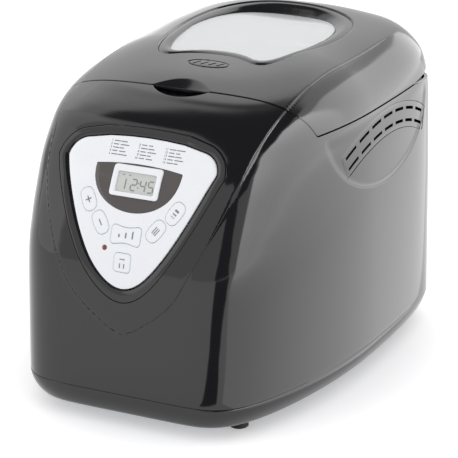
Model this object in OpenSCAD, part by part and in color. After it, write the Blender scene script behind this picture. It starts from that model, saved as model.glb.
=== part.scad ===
/* Bread machine: a barrel-sided housing with a sloping control panel, a domed
   lid hinged at the back, an oven chamber with a lift-out pan, and a belt drive
   that turns the kneading paddle. X is width, -Y is the front, Z is up and the
   origin is on the table under the middle of the body. */

/* [Body] */
// Width of the body at its widest
body_w = 264; // [240:1:320]
// Depth of the body from front to back
body_d = 378; // [350:1:460]
// Height of the roof above the table
body_h = 286; // [260:1:345]
// Wall of the moulded shells
wall = 2.5; // [2:0.1:3.5]
// Height of the tapered base ring
skirt_h = 21; // [14:1:26]
// Height of the rubber feet below the base
foot_h = 9; // [6:1:14]
// Radius of a foot
foot_r = 8; // [6:0.5:12]

/* [Lid] */
// Distance of the lid's front edge from the front of the body
lid_front = 104; // [96:1:120]
// Height of the lid line along the sides
lid_line_z = 229; // [220:1:240]
// Gap between the lid and the housing
lid_gap = 1.2; // [0.8:0.1:2]
// Radius of the hinge pins
hinge_pin_r = 2; // [1.5:0.1:2.5]
// Half width of the viewing window
window_half_w = 63; // [50:1:72]
// Length of the viewing window
window_len = 138; // [110:1:150]

/* [Oven and pan] */
// Inside width of the oven chamber
oven_w = 176; // [170:1:190]
// Inside length of the oven chamber
oven_len = 208; // [202:1:220]
// Height of the chamber floor above the table
oven_floor_z = 56; // [51:1:64]
// Sheet thickness of the oven chamber
sheet = 1; // [0.8:0.1:1.5]
// Outside width of the pan at its rim
pan_w = 144; // [120:1:148]
// Outside length of the pan at its rim
pan_len = 184; // [150:1:186]
// Height of the pan from its floor to its rim
pan_h = 108; // [80:1:110]
// Wall of the pan
pan_wall = 1.6; // [1.2:0.1:3]
// Reach of the bail handle from its pivots
bail_reach = 36; // [28:1:38]

/* [Drive] */
// Radius of the large pulley
big_pulley_r = 38; // [30:1:40]
// Radius of the motor pulley
small_pulley_r = 9.5; // [8:0.5:12]
// Radius of the drive shaft
shaft_r = 4; // [3:0.5:5]
// Radius of the motor
motor_r = 31; // [26:1:34]
// Radial clearance of the turning fits
fit = 0.05; // [0.02:0.01:0.1]

/* [Control panel] */
// Lean of the control panel's keys from upright
panel_tilt = 16; // [10:1:22]
// Half width of the white fascia
fascia_half_w = 66; // [60:1:70]
// Travel of a key
key_travel = 1; // [0.6:0.1:1.5]
// Gap round a key
key_gap = 0.5; // [0.3:0.1:0.8]

/* [Side vents] */
// Radius of the arc that the vent insert follows
vent_arc_r = 201; // [180:1:230]
// Width of the vent insert across its arc
vent_band = 22; // [18:1:26]
// Slots in each row of a vent
vent_slots = 7; // [5:1:9]

/* [Hidden] */
$fn = 48;
gap = 0.4;
big = 500;
seam_z = foot_h + skirt_h;
rise = body_h - seam_z;
half_w = body_w / 2;
half_d = body_d / 2;
lid_front_y = -half_d + lid_front;
lid_cross_z = lid_line_z + 22;
lid_corner_y = lid_front_y + 12;
hinge_y = half_d - 4;
hinge_z = lid_line_z;
rear_drop = 5;
rear_lift = 3.6;
oven_y = half_d - 137;
deck_z = lid_line_z - 10;
deck_t = 2.5;
pan_floor_z = oven_floor_z + 15;
pan_rim_z = pan_floor_z + pan_h;
liner_z = lid_line_z + 3;
liner_t = 2.5;
panel_y = -half_d + 12.5;
panel_z = seam_z + 0.512 * rise;
plate_z = foot_h + 2;
plate_t = 1.2;
pulley_z = foot_h + 14;
belt_h = 6;
motor_x = 50;
motor_y = -half_d + 78;
motor_z = foot_h + 32;
motor_h = 66;
vent_y = 47;
vent_z = seam_z - 17;
bail_y = pan_len / 2 + 6;
bail_z = pan_rim_z - 6;
bail_r = 2.4;
bail_rest = 72;
pocket_r = 31;
pocket_y = lid_front_y + 21;

// Loft of the body from the seam to the roof. Each row gives, as shares of the
// rise, the half depth and the half width: height at the front, side and back;
// front and back reach; half width amidships, at the front and at the back;
// then the squareness of the outline.
sections = [
    [0.000, 0.000, 0.000, -1.000, 1.000, 1.000, 0.745, 0.917, 8],
    [0.195, 0.195, 0.195, -0.997, 0.997, 0.996, 0.745, 0.913, 8],
    [0.390, 0.410, 0.410, -0.987, 0.995, 0.989, 0.745, 0.909, 8],
    [0.488, 0.547, 0.547, -0.952, 0.992, 0.981, 0.745, 0.905, 8],
    [0.574, 0.645, 0.645, -0.905, 0.989, 0.974, 0.745, 0.902, 8],
    [0.664, 0.715, 0.730, -0.847, 0.987, 0.966, 0.747, 0.898, 8],
    [0.734, 0.770, 0.800, -0.786, 0.981, 0.951, 0.748, 0.890, 7.5],
    [0.793, 0.824, 0.863, -0.730, 0.971, 0.920, 0.745, 0.879, 6.5],
    [0.832, 0.863, 0.910, -0.651, 0.947, 0.875, 0.736, 0.848, 5.5],
    [0.863, 0.895, 0.945, -0.534, 0.910, 0.814, 0.697, 0.803, 4.8],
    [0.887, 0.918, 0.965, -0.450, 0.862, 0.742, 0.636, 0.750, 4.2],
    [0.916, 0.943, 0.988, -0.312, 0.783, 0.606, 0.515, 0.606, 3.2],
    [0.936, 0.959, 0.998, -0.164, 0.683, 0.424, 0.364, 0.424, 2.6],
    [0.955, 0.971, 1.000, 0.048, 0.556, 0.212, 0.189, 0.212, 2.2],
    [0.978, 0.978, 0.978, 0.300, 0.302, 0.001, 0.001, 0.001, 2]];
last_section = len(sections) - 1;
middle_share = 0.09;

// Angles of the columns round the body, close together at the four corners
columns = [for (q = [0:3], i = [0:15]) let (v = i / 8 - 1)
    90 * q + 45 + 45 * sign(v) * pow(abs(v), 1.55)];

function clamp(v, lo, hi) = max(lo, min(hi, v));
function section(s) = let (i = clamp(floor(s), 0, last_section - 1), f = s - i)
    sections[i] * (1 - f) + sections[i + 1] * f;
function squareness(a, n) = pow(pow(abs(sin(a)), n) + pow(abs(cos(a)), n), -1 / n);

// A point of the skin at section s and column angle a, set in by inset
function skin(s, a, inset = 0) = let (
    q = section(s), n = q[8], k = squareness(a, n), sx = sin(a) * k, sy = -cos(a) * k,
    roof = 90 * clamp((s - 6.5) / 4, 0, 1), side_in = inset * cos(roof),
    yf = q[3] * half_d + side_in, yb = q[4] * half_d - side_in,
    ym = q[3] < middle_share - 0.1 ? middle_share * half_d : (yf + yb) / 2,
    end_w = sy < 0 ? q[6] : q[7], end_z = sy < 0 ? q[0] : q[2],
    w = (q[5] - (q[5] - end_w) * sy * sy) * half_w - side_in,
    z = seam_z + (q[1] + (end_z - q[1]) * sy * sy) * rise - inset * sin(roof))
    [sx * w, ym + sy * (sy < 0 ? ym - yf : yb - ym), z];

// Height of the lid line at depth y; a positive shift is the lid's side of the gap
function line_z(y, shift) = let (rear = clamp((y - half_d * 0.6) / (half_d * 0.3), 0, 1))
    y < lid_front_y + shift ? big
    : y < lid_corner_y ? lid_line_z + shift
        + (lid_cross_z - lid_line_z) * (lid_corner_y - y) / (lid_corner_y - lid_front_y)
    : lid_line_z + shift + rear * (shift > 0 ? rear_lift : -rear_drop);
function above_line(p, shift) = p[2] > line_z(p[1], shift);
function line_section(a, shift, lo = 0, hi = 12, n = 14) = let (mid = (lo + hi) / 2)
    n == 0 ? mid
    : above_line(skin(mid, a), shift) ? line_section(a, shift, lo, mid, n - 1)
    : line_section(a, shift, mid, hi, n - 1);

// Plan outline of the body at section s, set in
function plan(s, inset) = [for (a = columns) let (p = skin(s, a, inset)) [p[0], p[1]]];

// Faces of a closed band of rings, n points round and m rings, joined end to end
function ring_faces(n, m) = [for (j = [0:m - 1], i = [0:n - 1])
    let (a = j * n + i, b = j * n + (i + 1) % n,
         c = ((j + 1) % m) * n + (i + 1) % n, d = ((j + 1) % m) * n + i)
    each [[a, c, b], [a, d, c]]];

// Shell between two insets, from the sections in low to those in high
module shell(low, high, rows, outside, inside) {
    n = len(columns);
    outer = [for (j = [0:rows], i = [0:n - 1])
        skin(low[i] + (high[i] - low[i]) * j / rows, columns[i], outside)];
    inner = [for (j = [rows:-1:0], i = [0:n - 1])
        skin(low[i] + (high[i] - low[i]) * j / rows, columns[i], inside)];
    polyhedron(concat(outer, inner), ring_faces(n, 2 * rows + 2), convexity = 6);
}

// Solid body under the skin, for cutting inner pieces to its shape
module body_volume(inset) {
    n = len(columns);
    rows = 20;
    top = rows * n;
    points = [for (j = [0:rows - 1], i = [0:n - 1])
        skin(last_section * 0.97 * j / (rows - 1), columns[i], inset)];
    sides = [for (j = [0:rows - 2], i = [0:n - 1])
        let (a = j * n + i, b = j * n + (i + 1) % n)
        each [[a, b + n, b], [a, a + n, b + n]]];
    cap = [for (i = [0:n - 1]) [top, top - n + (i + 1) % n, top - n + i]];
    floor_face = [[for (i = [0:n - 1]) i]];
    polyhedron(concat(points, [skin(last_section, 0, inset)]),
        concat(sides, cap, floor_face), convexity = 6);
}

// Piece of the skin between two column angles and two sections
module skin_patch(a0, a1, s0, s1, outside, inside, cols = 14, rows = 14) {
    n = cols + 1;
    m = rows + 1;
    outer = [for (j = [0:rows], i = [0:cols])
        skin(s0 + (s1 - s0) * j / rows, a0 + (a1 - a0) * i / cols, outside)];
    inner = [for (j = [0:rows], i = [0:cols])
        skin(s0 + (s1 - s0) * j / rows, a0 + (a1 - a0) * i / cols, inside)];
    k = n * m;
    skins = [for (j = [0:rows - 1], i = [0:cols - 1]) let (a = j * n + i)
        each [[a, a + n + 1, a + 1], [a, a + n, a + n + 1],
              [k + a, k + a + 1, k + a + n + 1], [k + a, k + a + n + 1, k + a + n]]];
    ends = [for (i = [0:cols - 1]) let (b = (m - 1) * n + i)
        each [[i, i + 1, k + i + 1], [i, k + i + 1, k + i],
              [b, k + b + 1, b + 1], [b, k + b, k + b + 1]]];
    edges = [for (j = [0:rows - 1]) let (a = j * n, b = j * n + cols)
        each [[a, k + a, k + a + n], [a, k + a + n, a + n],
              [b, k + b + n, k + b], [b, b + n, k + b + n]]];
    polyhedron(concat(outer, inner), concat(skins, ends, edges), convexity = 4);
}
module panel_layer(outside, inside) {
    skin_patch(-41, 41, 1.6, 9.4, outside, inside);
}
module side_layer(outside, inside) {
    skin_patch(64, 131, 3.2, 7.2, outside, inside, 12, 6);
}

// Local frame of the panel: X across, Y up the panel, Z out of it
module on_panel() {
    translate([0, panel_y, panel_z]) rotate([90 - panel_tilt, 0, 0]) children();
}
module panel_prism() {
    on_panel() translate([0, 0, -60]) linear_extrude(90) children();
}
module rounded(w, h, r) {
    for (x = [-1, 1], y = [-1, 1]) translate([x * (w / 2 - r), y * (h / 2 - r)]) circle(r);
    square([w - 2 * r, h], center = true);
    square([w, h - 2 * r], center = true);
}
module rounded_box(w, l, h, r) { linear_extrude(h) rounded(w, l, r); }

// Shield outline: a pointed lower half that widens by a power law to the
// shoulders, and a slightly crowned top with round corners
shield_tip = -43;
shield_shoulder = 56;
shield_top = 77;
module shield(grow = 0) {
    hw = fascia_half_w + grow;
    tip = shield_tip - grow * 1.2;
    top = shield_top + grow * 0.85;
    r = 16 + grow;
    side = [for (i = [0:14]) let (t = pow(i / 14, 1.6))
        [hw * pow(t, 0.52), tip + (shield_shoulder - tip) * t]];
    corner = [for (a = [10:16:74]) [hw - r + r * cos(a), top - 5 - r + r * sin(a)]];
    right = concat(side, corner, [[hw * 0.45, top - 1]]);
    left = [for (i = [len(right) - 1:-1:1]) [-right[i][0], right[i][1]]];
    polygon(concat(right, [[0, top]], left));
}

// Display surround: a half disc with its flat side up
module dee(grow = 0) {
    hw = 38.5 + grow;
    base = 53 + grow;
    depth = 35.5 + 2 * grow;
    polygon([for (a = [0:12:180]) [hw * cos(a), base - depth * pow(sin(a), 0.85)]]);
}
lcd_y = 42;
lcd_w = 43.5;
lcd_h = 25;

// Keys: place, turn, width and height on the panel
key_places = [[-38.5, 23, -62, 16.5, 10.2], [-24.5, 6.5, -47, 16.8, 8.8], [0, 0, 0, 25, 12],
    [24.5, 6.5, 47, 16.8, 8.8], [38.5, 23, 62, 16.5, 10.2], [0, -22, 0, 13.7, 15]];
module key_shape(i, grow = 0) {
    k = key_places[i];
    translate([k[0], k[1]]) rotate(k[2]) rounded(k[3] + 2 * grow, k[4] + 2 * grow, 3.5 + grow);
}

module base_ring() {
    color("#3d3e42") {
        n = len(columns);
        turn = seam_z - plate_z;
        profile = [[plate_z - 2, 15.5], [plate_z - 2, 11], [plate_z - 0.6, 8.2],
            [plate_z + turn * 0.17, 5], [plate_z + turn * 0.42, 2.2], [plate_z + turn * 0.7, 0.6],
            [seam_z, 0], [seam_z, wall], [plate_z + turn * 0.42, 2.2 + wall],
            [plate_z + turn * 0.17, 5 + wall], [plate_z, 12], [plate_z, 15.5]];
        points = [for (p = profile, a = columns)
            let (q = skin(0, a, p[1])) [q[0], q[1], p[0]]];
        polyhedron(points, ring_faces(n, len(profile)), convexity = 6);
    }
}

foot_places = [for (x = [-1, 1], y = [-1, 1])
    [x * (y < 0 ? half_w * 0.61 : half_w * 0.72), y * half_d * 0.74]];
module feet() {
    color("#2b2b2d") for (p = foot_places) translate([p[0], p[1], 0])
        rotate_extrude() polygon([[0, 0], [foot_r - 1, 0], [foot_r, 1],
            [foot_r - 0.5, plate_z], [0, plate_z]]);
}

post_places = [for (x = [-1, 1], y = [-0.3, 0.12, 0.52]) [x * (half_w - 31), y * half_d]];
module base_plate() {
    color("#b9bcc0") difference() {
        translate([0, 0, plate_z]) linear_extrude(plate_t) polygon(plan(0, 14));
        for (p = post_places) translate([p[0], p[1], 0]) cylinder(r = 1.7, h = big, $fn = 24);
        for (i = [-5:5]) translate([i * 9 - 1.8, motor_y - 18, 0]) cube([3.6, 46, big]);
    }
}
module base_screws() {
    color("#8d9094") for (p = post_places) translate([p[0], p[1], 0]) {
        translate([0, 0, plate_z - 1.8]) cylinder(r = 3.4, h = 1.8, $fn = 24);
        translate([0, 0, plate_z]) cylinder(r = 1.6, h = 16, $fn = 24);
    }
}
module deck_posts() {
    color("#57585c") for (p = post_places) translate([p[0], p[1], plate_z + plate_t])
        difference() {
            cylinder(r = 5, h = deck_z - plate_z - plate_t, $fn = 32);
            translate([0, 0, -1]) cylinder(r = 1.7, h = 20, $fn = 24);
        }
}

module vent_band_shape(grow = 0) {
    r0 = vent_arc_r - vent_band / 2 - grow;
    r1 = vent_arc_r + vent_band / 2 + grow;
    span = 24.5 + grow * 0.25;
    arc = [for (i = [0:12]) 90 + span - i * span / 6];
    polygon(concat([for (a = arc) [vent_y + r1 * cos(a), vent_z + r1 * sin(a)]],
        [for (i = [12:-1:0]) [vent_y + r0 * cos(arc[i]), vent_z + r0 * sin(arc[i])]]));
}
module across() { rotate([90, 0, 90]) children(); }

module housing() {
    low = [for (a = columns) 0];
    high = [for (a = columns) line_section(a, 0)];
    color("#4a4b4f") difference() {
        shell(low, high, 14, 0, wall);
        panel_prism() shield(9 + gap);
        for (s = [-1, 1]) translate([s > 0 ? half_w - 20 : -half_w - 40, 0, 0])
            across() linear_extrude(60) vent_band_shape(gap);
        translate([0, pocket_y, lid_line_z]) cylinder(r = pocket_r + 1.6 + gap, h = 60);
        translate([gland_x, half_d - 20, gland_z]) rotate([-90, 0, 0])
            cylinder(r = gland_r, h = 40);
    }
}
gland_x = -half_w * 0.55;
gland_z = seam_z + 22;
gland_r = 7;
module cord_gland() {
    color("#1f1f20") translate([gland_x, half_d, gland_z]) rotate([90, 0, 0]) difference() {
        union() {
            translate([0, 0, wall + 1.8]) cylinder(r = gland_r + 3, h = 2);
            translate([0, 0, 1]) cylinder(r = gland_r - 0.2, h = 13);
        }
        translate([0, 0, -5]) cylinder(r = 3.4, h = 30);
    }
}

module finger_pocket() {
    color("#202123") difference() {
        intersection() {
            translate([0, pocket_y, lid_line_z + 6]) cylinder(r = pocket_r + 1.6, h = 40);
            translate([-big / 2, lid_front_y - 40, 0]) cube([big, 49, big]);
            body_volume(gap);
        }
        translate([0, pocket_y, lid_line_z + 8]) intersection() {
            cylinder(r = pocket_r, h = 60);
            translate([-big / 2, -big + lid_front_y + 7.4 - pocket_y, 0]) cube([big, big, big]);
        }
        translate([-big / 2, lid_front_y - 0.5, lid_cross_z - 3.6]) cube([big, big, big]);
    }
}

// Deck: carries the oven chamber, and closes the housing under the lid
module deck() {
    front = lid_front_y + 18;
    color("#3a3b3e") difference() {
        intersection() {
            translate([-big / 2, 0, 0]) across() linear_extrude(big) polygon([
                [lid_front_y - 4, lid_cross_z - 6.5], [lid_front_y + 8.6, lid_cross_z - 6.5],
                [front, deck_z], [half_d, deck_z], [half_d, deck_z + deck_t],
                [front + 1.6, deck_z + deck_t], [lid_front_y + 10.2, lid_cross_z - 4],
                [lid_front_y - 4, lid_cross_z - 4]]);
            body_volume(wall + 1.6);
        }
        translate([0, oven_y, 0]) rounded_box(oven_w + 2 * sheet + 1, oven_len + 2 * sheet + 1, big, 31);
        translate([0, pocket_y, 0]) cylinder(r = pocket_r + 2, h = big);
    }
}

module oven_chamber() {
    r = 30;
    color("#c4c6c8") translate([0, oven_y, 0]) difference() {
        union() {
            translate([0, 0, oven_floor_z - sheet])
                rounded_box(oven_w + 2 * sheet, oven_len + 2 * sheet, deck_z + deck_t - oven_floor_z + sheet, r + sheet);
            translate([0, 0, deck_z + deck_t]) rounded_box(oven_w + 16, oven_len + 16, sheet, r + 8);
        }
        translate([0, 0, oven_floor_z]) rounded_box(oven_w, oven_len, big, r);
        cylinder(r = 12, h = oven_floor_z + 1);
        for (x = [-1, 1]) translate([x * element_gap, 0, element_z]) rotate([90, 0, 0])
            cylinder(r = element_r + 0.4, h = oven_len);
        translate([sensor_x, 0, sensor_z]) rotate([90, 0, 0]) cylinder(r = sensor_r + 0.3, h = oven_len);
    }
}

// Heating element: a loop round the foot of the pan, with two tails at the front
element_r = 3.2;
element_z = oven_floor_z + 22;
element_gap = 14;
element_bend = 26;
module tube_along(p, q) {
    d = q - p;
    translate(p) rotate([0, acos(d[2] / norm(d)), atan2(d[1], d[0])])
        cylinder(r = element_r, h = norm(d), $fn = 24);
}
module tube_bend(centre, r, from, turn) {
    translate([centre[0], centre[1], element_z]) rotate(from)
        rotate_extrude(angle = turn, $fn = 64) translate([r, 0]) circle(element_r, $fn = 24);
}
module heating_element() {
    ex = oven_w / 2 - 9;
    ey = oven_len / 2 - 9;
    b = element_bend;
    tail = 8;
    color("#77797c") translate([0, oven_y, 0]) {
        for (x = [-1, 1]) {
            tube_along([x * ex, -ey + b, element_z], [x * ex, ey - b, element_z]);
            tube_bend([x * (ex - b), ey - b], b, x > 0 ? 0 : 90, 90);
            tube_bend([x * (ex - b), -ey + b], b, x > 0 ? 270 : 180, 90);
            tube_along([x * (ex - b), -ey, element_z], [x * (element_gap + tail), -ey, element_z]);
            tube_bend([x * (element_gap + tail), -ey - tail], tail, x > 0 ? 90 : 0, 90);
            tube_along([x * element_gap, -ey - tail, element_z],
                [x * element_gap, -oven_len / 2 - 16, element_z]);
        }
        tube_along([-ex + b, ey, element_z], [ex - b, ey, element_z]);
    }
}
module element_clips() {
    ex = oven_w / 2 - 9;
    color("#a9abae") for (x = [-1, 1], y = [-0.5, 0.5])
        translate([x * ex, oven_y + y * oven_len * 0.5, element_z]) rotate([90, 0, 0])
            difference() {
                union() {
                    translate([0, 0, -4]) cylinder(r = element_r + 1.2, h = 8, $fn = 32);
                    translate([x > 0 ? 3.4 : -9, -2, -4]) cube([5.6, 4, 8]);
                }
                translate([0, 0, -5]) cylinder(r = element_r, h = 10, $fn = 24);
            }
}
sensor_r = 3.5;
sensor_x = 52;
sensor_z = oven_floor_z + 60;
module temperature_sensor() {
    color("#d0d2d4") translate([sensor_x, oven_y - oven_len / 2, sensor_z]) rotate([90, 0, 0]) {
        translate([0, 0, -11]) cylinder(r = sensor_r - 0.6, h = 20, $fn = 32);
        translate([0, 0, sheet]) cylinder(r = sensor_r + 3, h = 3, $fn = 32);
    }
}

// Socket on the chamber floor that the foot of the pan stands in
socket_r = 36;
module pan_socket() {
    color("#9b9da0") translate([0, oven_y, oven_floor_z]) difference() {
        cylinder(r = socket_r + 4, h = 7, $fn = 64);
        translate([0, 0, -1]) cylinder(r = socket_r, h = 9, $fn = 64);
        for (a = [0, 180]) rotate(a + 45) translate([socket_r - 3, -6, -1]) cube([12, 12, 9]);
    }
}
module bearing_block() {
    color("#8f9195") translate([0, oven_y, oven_floor_z - sheet]) difference() {
        union() {
            translate([0, 0, -14]) cylinder(r = 11.5, h = 14 + 3);
            translate([0, 0, -3]) cylinder(r = 30, h = 3);
        }
        translate([0, 0, -15]) cylinder(r = shaft_r + 2.5, h = 20);
    }
}
module shaft_bush() {
    color("#b08d4f") translate([0, oven_y, oven_floor_z - sheet - 14]) difference() {
        cylinder(r = shaft_r + 2.5, h = 17);
        translate([0, 0, -1]) cylinder(r = shaft_r + fit, h = 19);
    }
}
module drive_shaft() {
    color("#c9cbce") translate([0, oven_y, pulley_z - 6])
        cylinder(r = shaft_r, h = coupler_z + 3 - pulley_z + 6);
}
coupler_z = oven_floor_z + 3;
module drive_coupler() {
    color("#6f7276") translate([0, oven_y, coupler_z]) difference() {
        union() {
            cylinder(r = 12, h = 3);
            for (a = [0, 180]) rotate(a) translate([7.2, -2.5, 0]) cube([4.3, 5, 7.5]);
        }
        translate([0, 0, -1]) cylinder(r = shaft_r, h = 20);
    }
}
module pulley(r, bore, spokes) {
    difference() {
        union() {
            cylinder(r = r, h = belt_h + 2);
            cylinder(r = r + 2.5, h = 1);
            translate([0, 0, belt_h + 1]) cylinder(r = r + 2.5, h = 1);
        }
        translate([0, 0, -1]) cylinder(r = bore, h = belt_h + 5);
        if (spokes > 0) for (i = [0:spokes - 1]) rotate(i * 360 / spokes)
            translate([r * 0.58, 0, -1]) cylinder(r = r * 0.22, h = belt_h + 5);
    }
}
module large_pulley() {
    color("#2f3033") translate([0, oven_y, pulley_z - belt_h / 2 - 1])
        pulley(big_pulley_r, shaft_r, 6);
}
module small_pulley() {
    color("#55575b") translate([motor_x, motor_y, pulley_z - belt_h / 2 - 1])
        pulley(small_pulley_r, 3, 0);
}
module belt_outline(grow) {
    r0 = small_pulley_r + grow;
    r1 = big_pulley_r + grow;
    d = [motor_x, motor_y - oven_y];
    len_d = norm(d);
    along = atan2(d[1], d[0]);
    open = acos((r1 - r0) / len_d);
    ends = [for (s = [-1, 1]) along + s * open];
    polygon([for (s = [0, 1]) each [
        [r1 * cos(ends[s]), r1 * sin(ends[s])] * (s == 0 ? 1 : 0)
            + (d + r0 * [cos(ends[1]), sin(ends[1])]) * (s == 0 ? 0 : 1),
        (d + r0 * [cos(ends[0]), sin(ends[0])]) * (s == 0 ? 1 : 0)
            + [r1 * cos(ends[1]), r1 * sin(ends[1])] * (s == 0 ? 0 : 1)]]);
    circle(r1, $fn = 96);
    translate(d) circle(r0, $fn = 48);
}
module drive_belt() {
    color("#1b1b1c") translate([0, oven_y, pulley_z - belt_h / 2 + 0.4])
        linear_extrude(belt_h - 0.8) difference() {
            belt_outline(2);
            belt_outline(0.35);
        }
}
module motor_shaft() {
    color("#c9cbce") translate([motor_x, motor_y, pulley_z - belt_h / 2 - 2])
        cylinder(r = 3, h = motor_z + motor_h + 10 - pulley_z + belt_h / 2 + 2, $fn = 32);
}
module motor_fan() {
    color("#3c3d40") translate([motor_x, motor_y, motor_z + motor_h + 3]) {
        difference() {
            cylinder(r = 7, h = 7);
            translate([0, 0, -1]) cylinder(r = 3, h = 9, $fn = 32);
        }
        for (i = [0:6]) rotate(i * 360 / 7) translate([6.5, 0, 3.5]) rotate([35, 0, 0])
            translate([0, -0.7, -3.2]) cube([17, 1.4, 6.4]);
    }
}
module motor() {
    color("#85888c") translate([motor_x, motor_y, motor_z]) difference() {
        union() {
            cylinder(r = motor_r, h = motor_h, $fn = 64);
            translate([0, 0, -4]) cylinder(r = 9, h = 4);
            translate([0, 0, motor_h]) cylinder(r = 9, h = 2);
        }
        translate([0, 0, -5]) cylinder(r = 3 + fit, h = motor_h + 10, $fn = 32);
    }
}
module motor_bracket() {
    reach = motor_r + 10;
    color("#a9abae") translate([motor_x, motor_y, 0]) difference() {
        union() {
            translate([0, 0, motor_z - 2.5]) rounded_box(2 * reach, 2 * reach, 2.5, 8);
            for (x = [-1, 1], y = [-1, 1]) translate([x * (reach - 6), y * (reach - 6), plate_z + plate_t])
                cylinder(r = 4, h = motor_z - 2.5 - plate_z - plate_t, $fn = 24);
        }
        translate([0, 0, motor_z - 5]) cylinder(r = 9.4, h = 10);
    }
}
module capacitor() {
    color("#d9dadb") translate([-58, motor_y, plate_z + plate_t]) {
        cylinder(r = 14, h = 46);
        for (x = [-5, 5]) translate([x - 1.5, -0.4, 46]) cube([3, 0.8, 7]);
    }
}

// Pan: a tapered tin with a rolled rim and a lug at each end for the bail
function pan_ring(w, l, r, z) = [for (q = [0:3], i = [0:5]) let (a = 90 * q + 18 * i)
    [(q == 0 || q == 3 ? 1 : -1) * (w / 2 - r) + r * cos(a),
     (q < 2 ? 1 : -1) * (l / 2 - r) + r * sin(a), z]];
pan_rim = 3;
pan_taper = 12;
module pan() {
    w = pan_w - 2 * pan_rim;
    l = pan_len - 2 * pan_rim;
    t = pan_wall;
    rings = concat(
        pan_ring(w - pan_taper - 16, l - pan_taper - 16, 20, pan_floor_z),
        pan_ring(w - pan_taper, l - pan_taper, 26, pan_floor_z + 8),
        pan_ring(w, l, 28, pan_rim_z - 5),
        pan_ring(w + 2 * pan_rim, l + 2 * pan_rim, 30, pan_rim_z - 3),
        pan_ring(w + 2 * pan_rim, l + 2 * pan_rim, 30, pan_rim_z),
        pan_ring(w - 2 * t, l - 2 * t, 27, pan_rim_z),
        pan_ring(w - pan_taper - 2 * t, l - pan_taper - 2 * t, 25, pan_floor_z + 9),
        pan_ring(w - pan_taper - 17, l - pan_taper - 17, 19, pan_floor_z + t));
    n = 24;
    floors = [[for (i = [0:n - 1]) i], [for (i = [n - 1:-1:0]) 7 * n + i]];
    walls = [for (j = [0:6], i = [0:n - 1])
        let (a = j * n + i, b = j * n + (i + 1) % n)
        each [[a, b + n, b], [a, a + n, b + n]]];
    color("#55565a") difference() {
        union() {
            translate([0, oven_y, 0]) polyhedron(rings, concat(floors, walls), convexity = 6);
            for (s = [-1, 1]) translate([-7, oven_y + s * (pan_len / 2 + 0.8) - 2.5, bail_z - 7])
                cube([14, 5, 10]);
        }
        translate([0, oven_y, pan_floor_z - 1]) cylinder(r = shaft_r + 2.6, h = 6);
        for (s = [-1, 1]) translate([0, oven_y + s * (pan_len / 2 + 1), bail_z]) rotate([90, 0, 0])
            translate([0, 0, -6]) cylinder(r = bail_r + fit, h = 12);
    }
}
module pan_foot() {
    color("#8f9195") translate([0, oven_y, oven_floor_z]) difference() {
        cylinder(r = socket_r - 0.5, h = pan_floor_z - oven_floor_z, $fn = 64);
        translate([0, 0, -1]) cylinder(r = socket_r - 4, h = pan_floor_z - oven_floor_z - 2, $fn = 64);
        translate([0, 0, -1]) cylinder(r = shaft_r + 2.6, h = 30);
    }
}
module pan_bush() {
    color("#b08d4f") translate([0, oven_y, pan_floor_z - 3]) difference() {
        cylinder(r = shaft_r + 2.6, h = 3 + pan_wall + 3);
        translate([0, 0, -1]) cylinder(r = shaft_r + fit, h = 20);
    }
}
module pan_spindle() {
    color("#c9cbce") translate([0, oven_y, coupler_z + 3.8])
        cylinder(r = shaft_r, h = paddle_z + 12.6 - coupler_z - 3.8);
}
module spindle_wing() {
    color("#6f7276") translate([0, oven_y, coupler_z + 4.2]) difference() {
        union() {
            translate([-2.2, -11, 0]) cube([4.4, 22, 3]);
            cylinder(r = shaft_r + 2, h = 3);
        }
        translate([0, 0, -1]) cylinder(r = shaft_r, h = 20);
    }
}
paddle_z = pan_floor_z + pan_wall + 3.4;
module kneading_paddle() {
    color("#47484b") translate([0, oven_y, paddle_z]) difference() {
        union() {
            cylinder(r = 8, h = 17);
            linear_extrude(26, scale = 0.72) translate([0, -2.6]) square([36, 5.2]);
            translate([4, -2.6, 0]) cube([30, 5.2, 4]);
        }
        translate([0, 0, -1]) cylinder(r = shaft_r, h = 13.6);
    }
}
module pan_handle() {
    b = 9;
    reach = bail_reach;
    color("#8d9094") translate([0, oven_y, bail_z]) rotate([0, -bail_rest, 0]) {
        for (s = [-1, 1]) {
            translate([0, s * bail_y, 0]) cylinder(r = bail_r, h = reach - b, $fn = 24);
            translate([0, s * (bail_y + bail_r), 0]) rotate([s * 90, 0, 0])
                cylinder(r = bail_r, h = bail_y + bail_r - pan_len / 2 + 1.4);
            translate([0, s * (bail_y - b), reach - b]) rotate([90, 0, 90])
                rotate(s > 0 ? 0 : 90) rotate_extrude(angle = 90, $fn = 48)
                    translate([b, 0]) circle(bail_r, $fn = 24);
        }
        translate([0, -bail_y + b, reach]) rotate([-90, 0, 0])
            cylinder(r = bail_r, h = 2 * (bail_y - b), $fn = 24);
    }
}

// Window outline: an oval whose front edge dips in round the steam vent
window_front = lid_front_y + 62;
module window_outline(grow = 0) {
    a = window_half_w + grow;
    b = window_len / 2 + grow;
    centre = window_front + window_len / 2;
    polygon([for (i = [0:47]) let (t = i * 7.5, x = a * sin(t),
            dip = cos(t) > 0 ? 13 * pow(2.72, -pow(x / 26, 2)) : 0)
        [x * (1 - 0.12 * cos(t)), centre - b * sign(cos(t)) * pow(abs(cos(t)), 0.9) + dip]]);
}
module window_prism(grow) {
    translate([0, 0, lid_line_z]) linear_extrude(big) window_outline(grow);
}
vent_slot_z = lid_front_y + 48;
module steam_vent_shape(grow = 0) {
    translate([0, vent_slot_z]) rounded(35 + 2 * grow, 11 + 2 * grow, 5.4 + grow);
}
module lid_shell() {
    low = [for (a = columns) line_section(a, lid_gap)];
    high = [for (a = columns) 13.4];
    color("#5c5d61") difference() {
        shell(low, high, 14, 0, wall);
        window_prism(5);
        translate([0, 0, lid_line_z]) linear_extrude(big) steam_vent_shape(0.2);
    }
}
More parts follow.
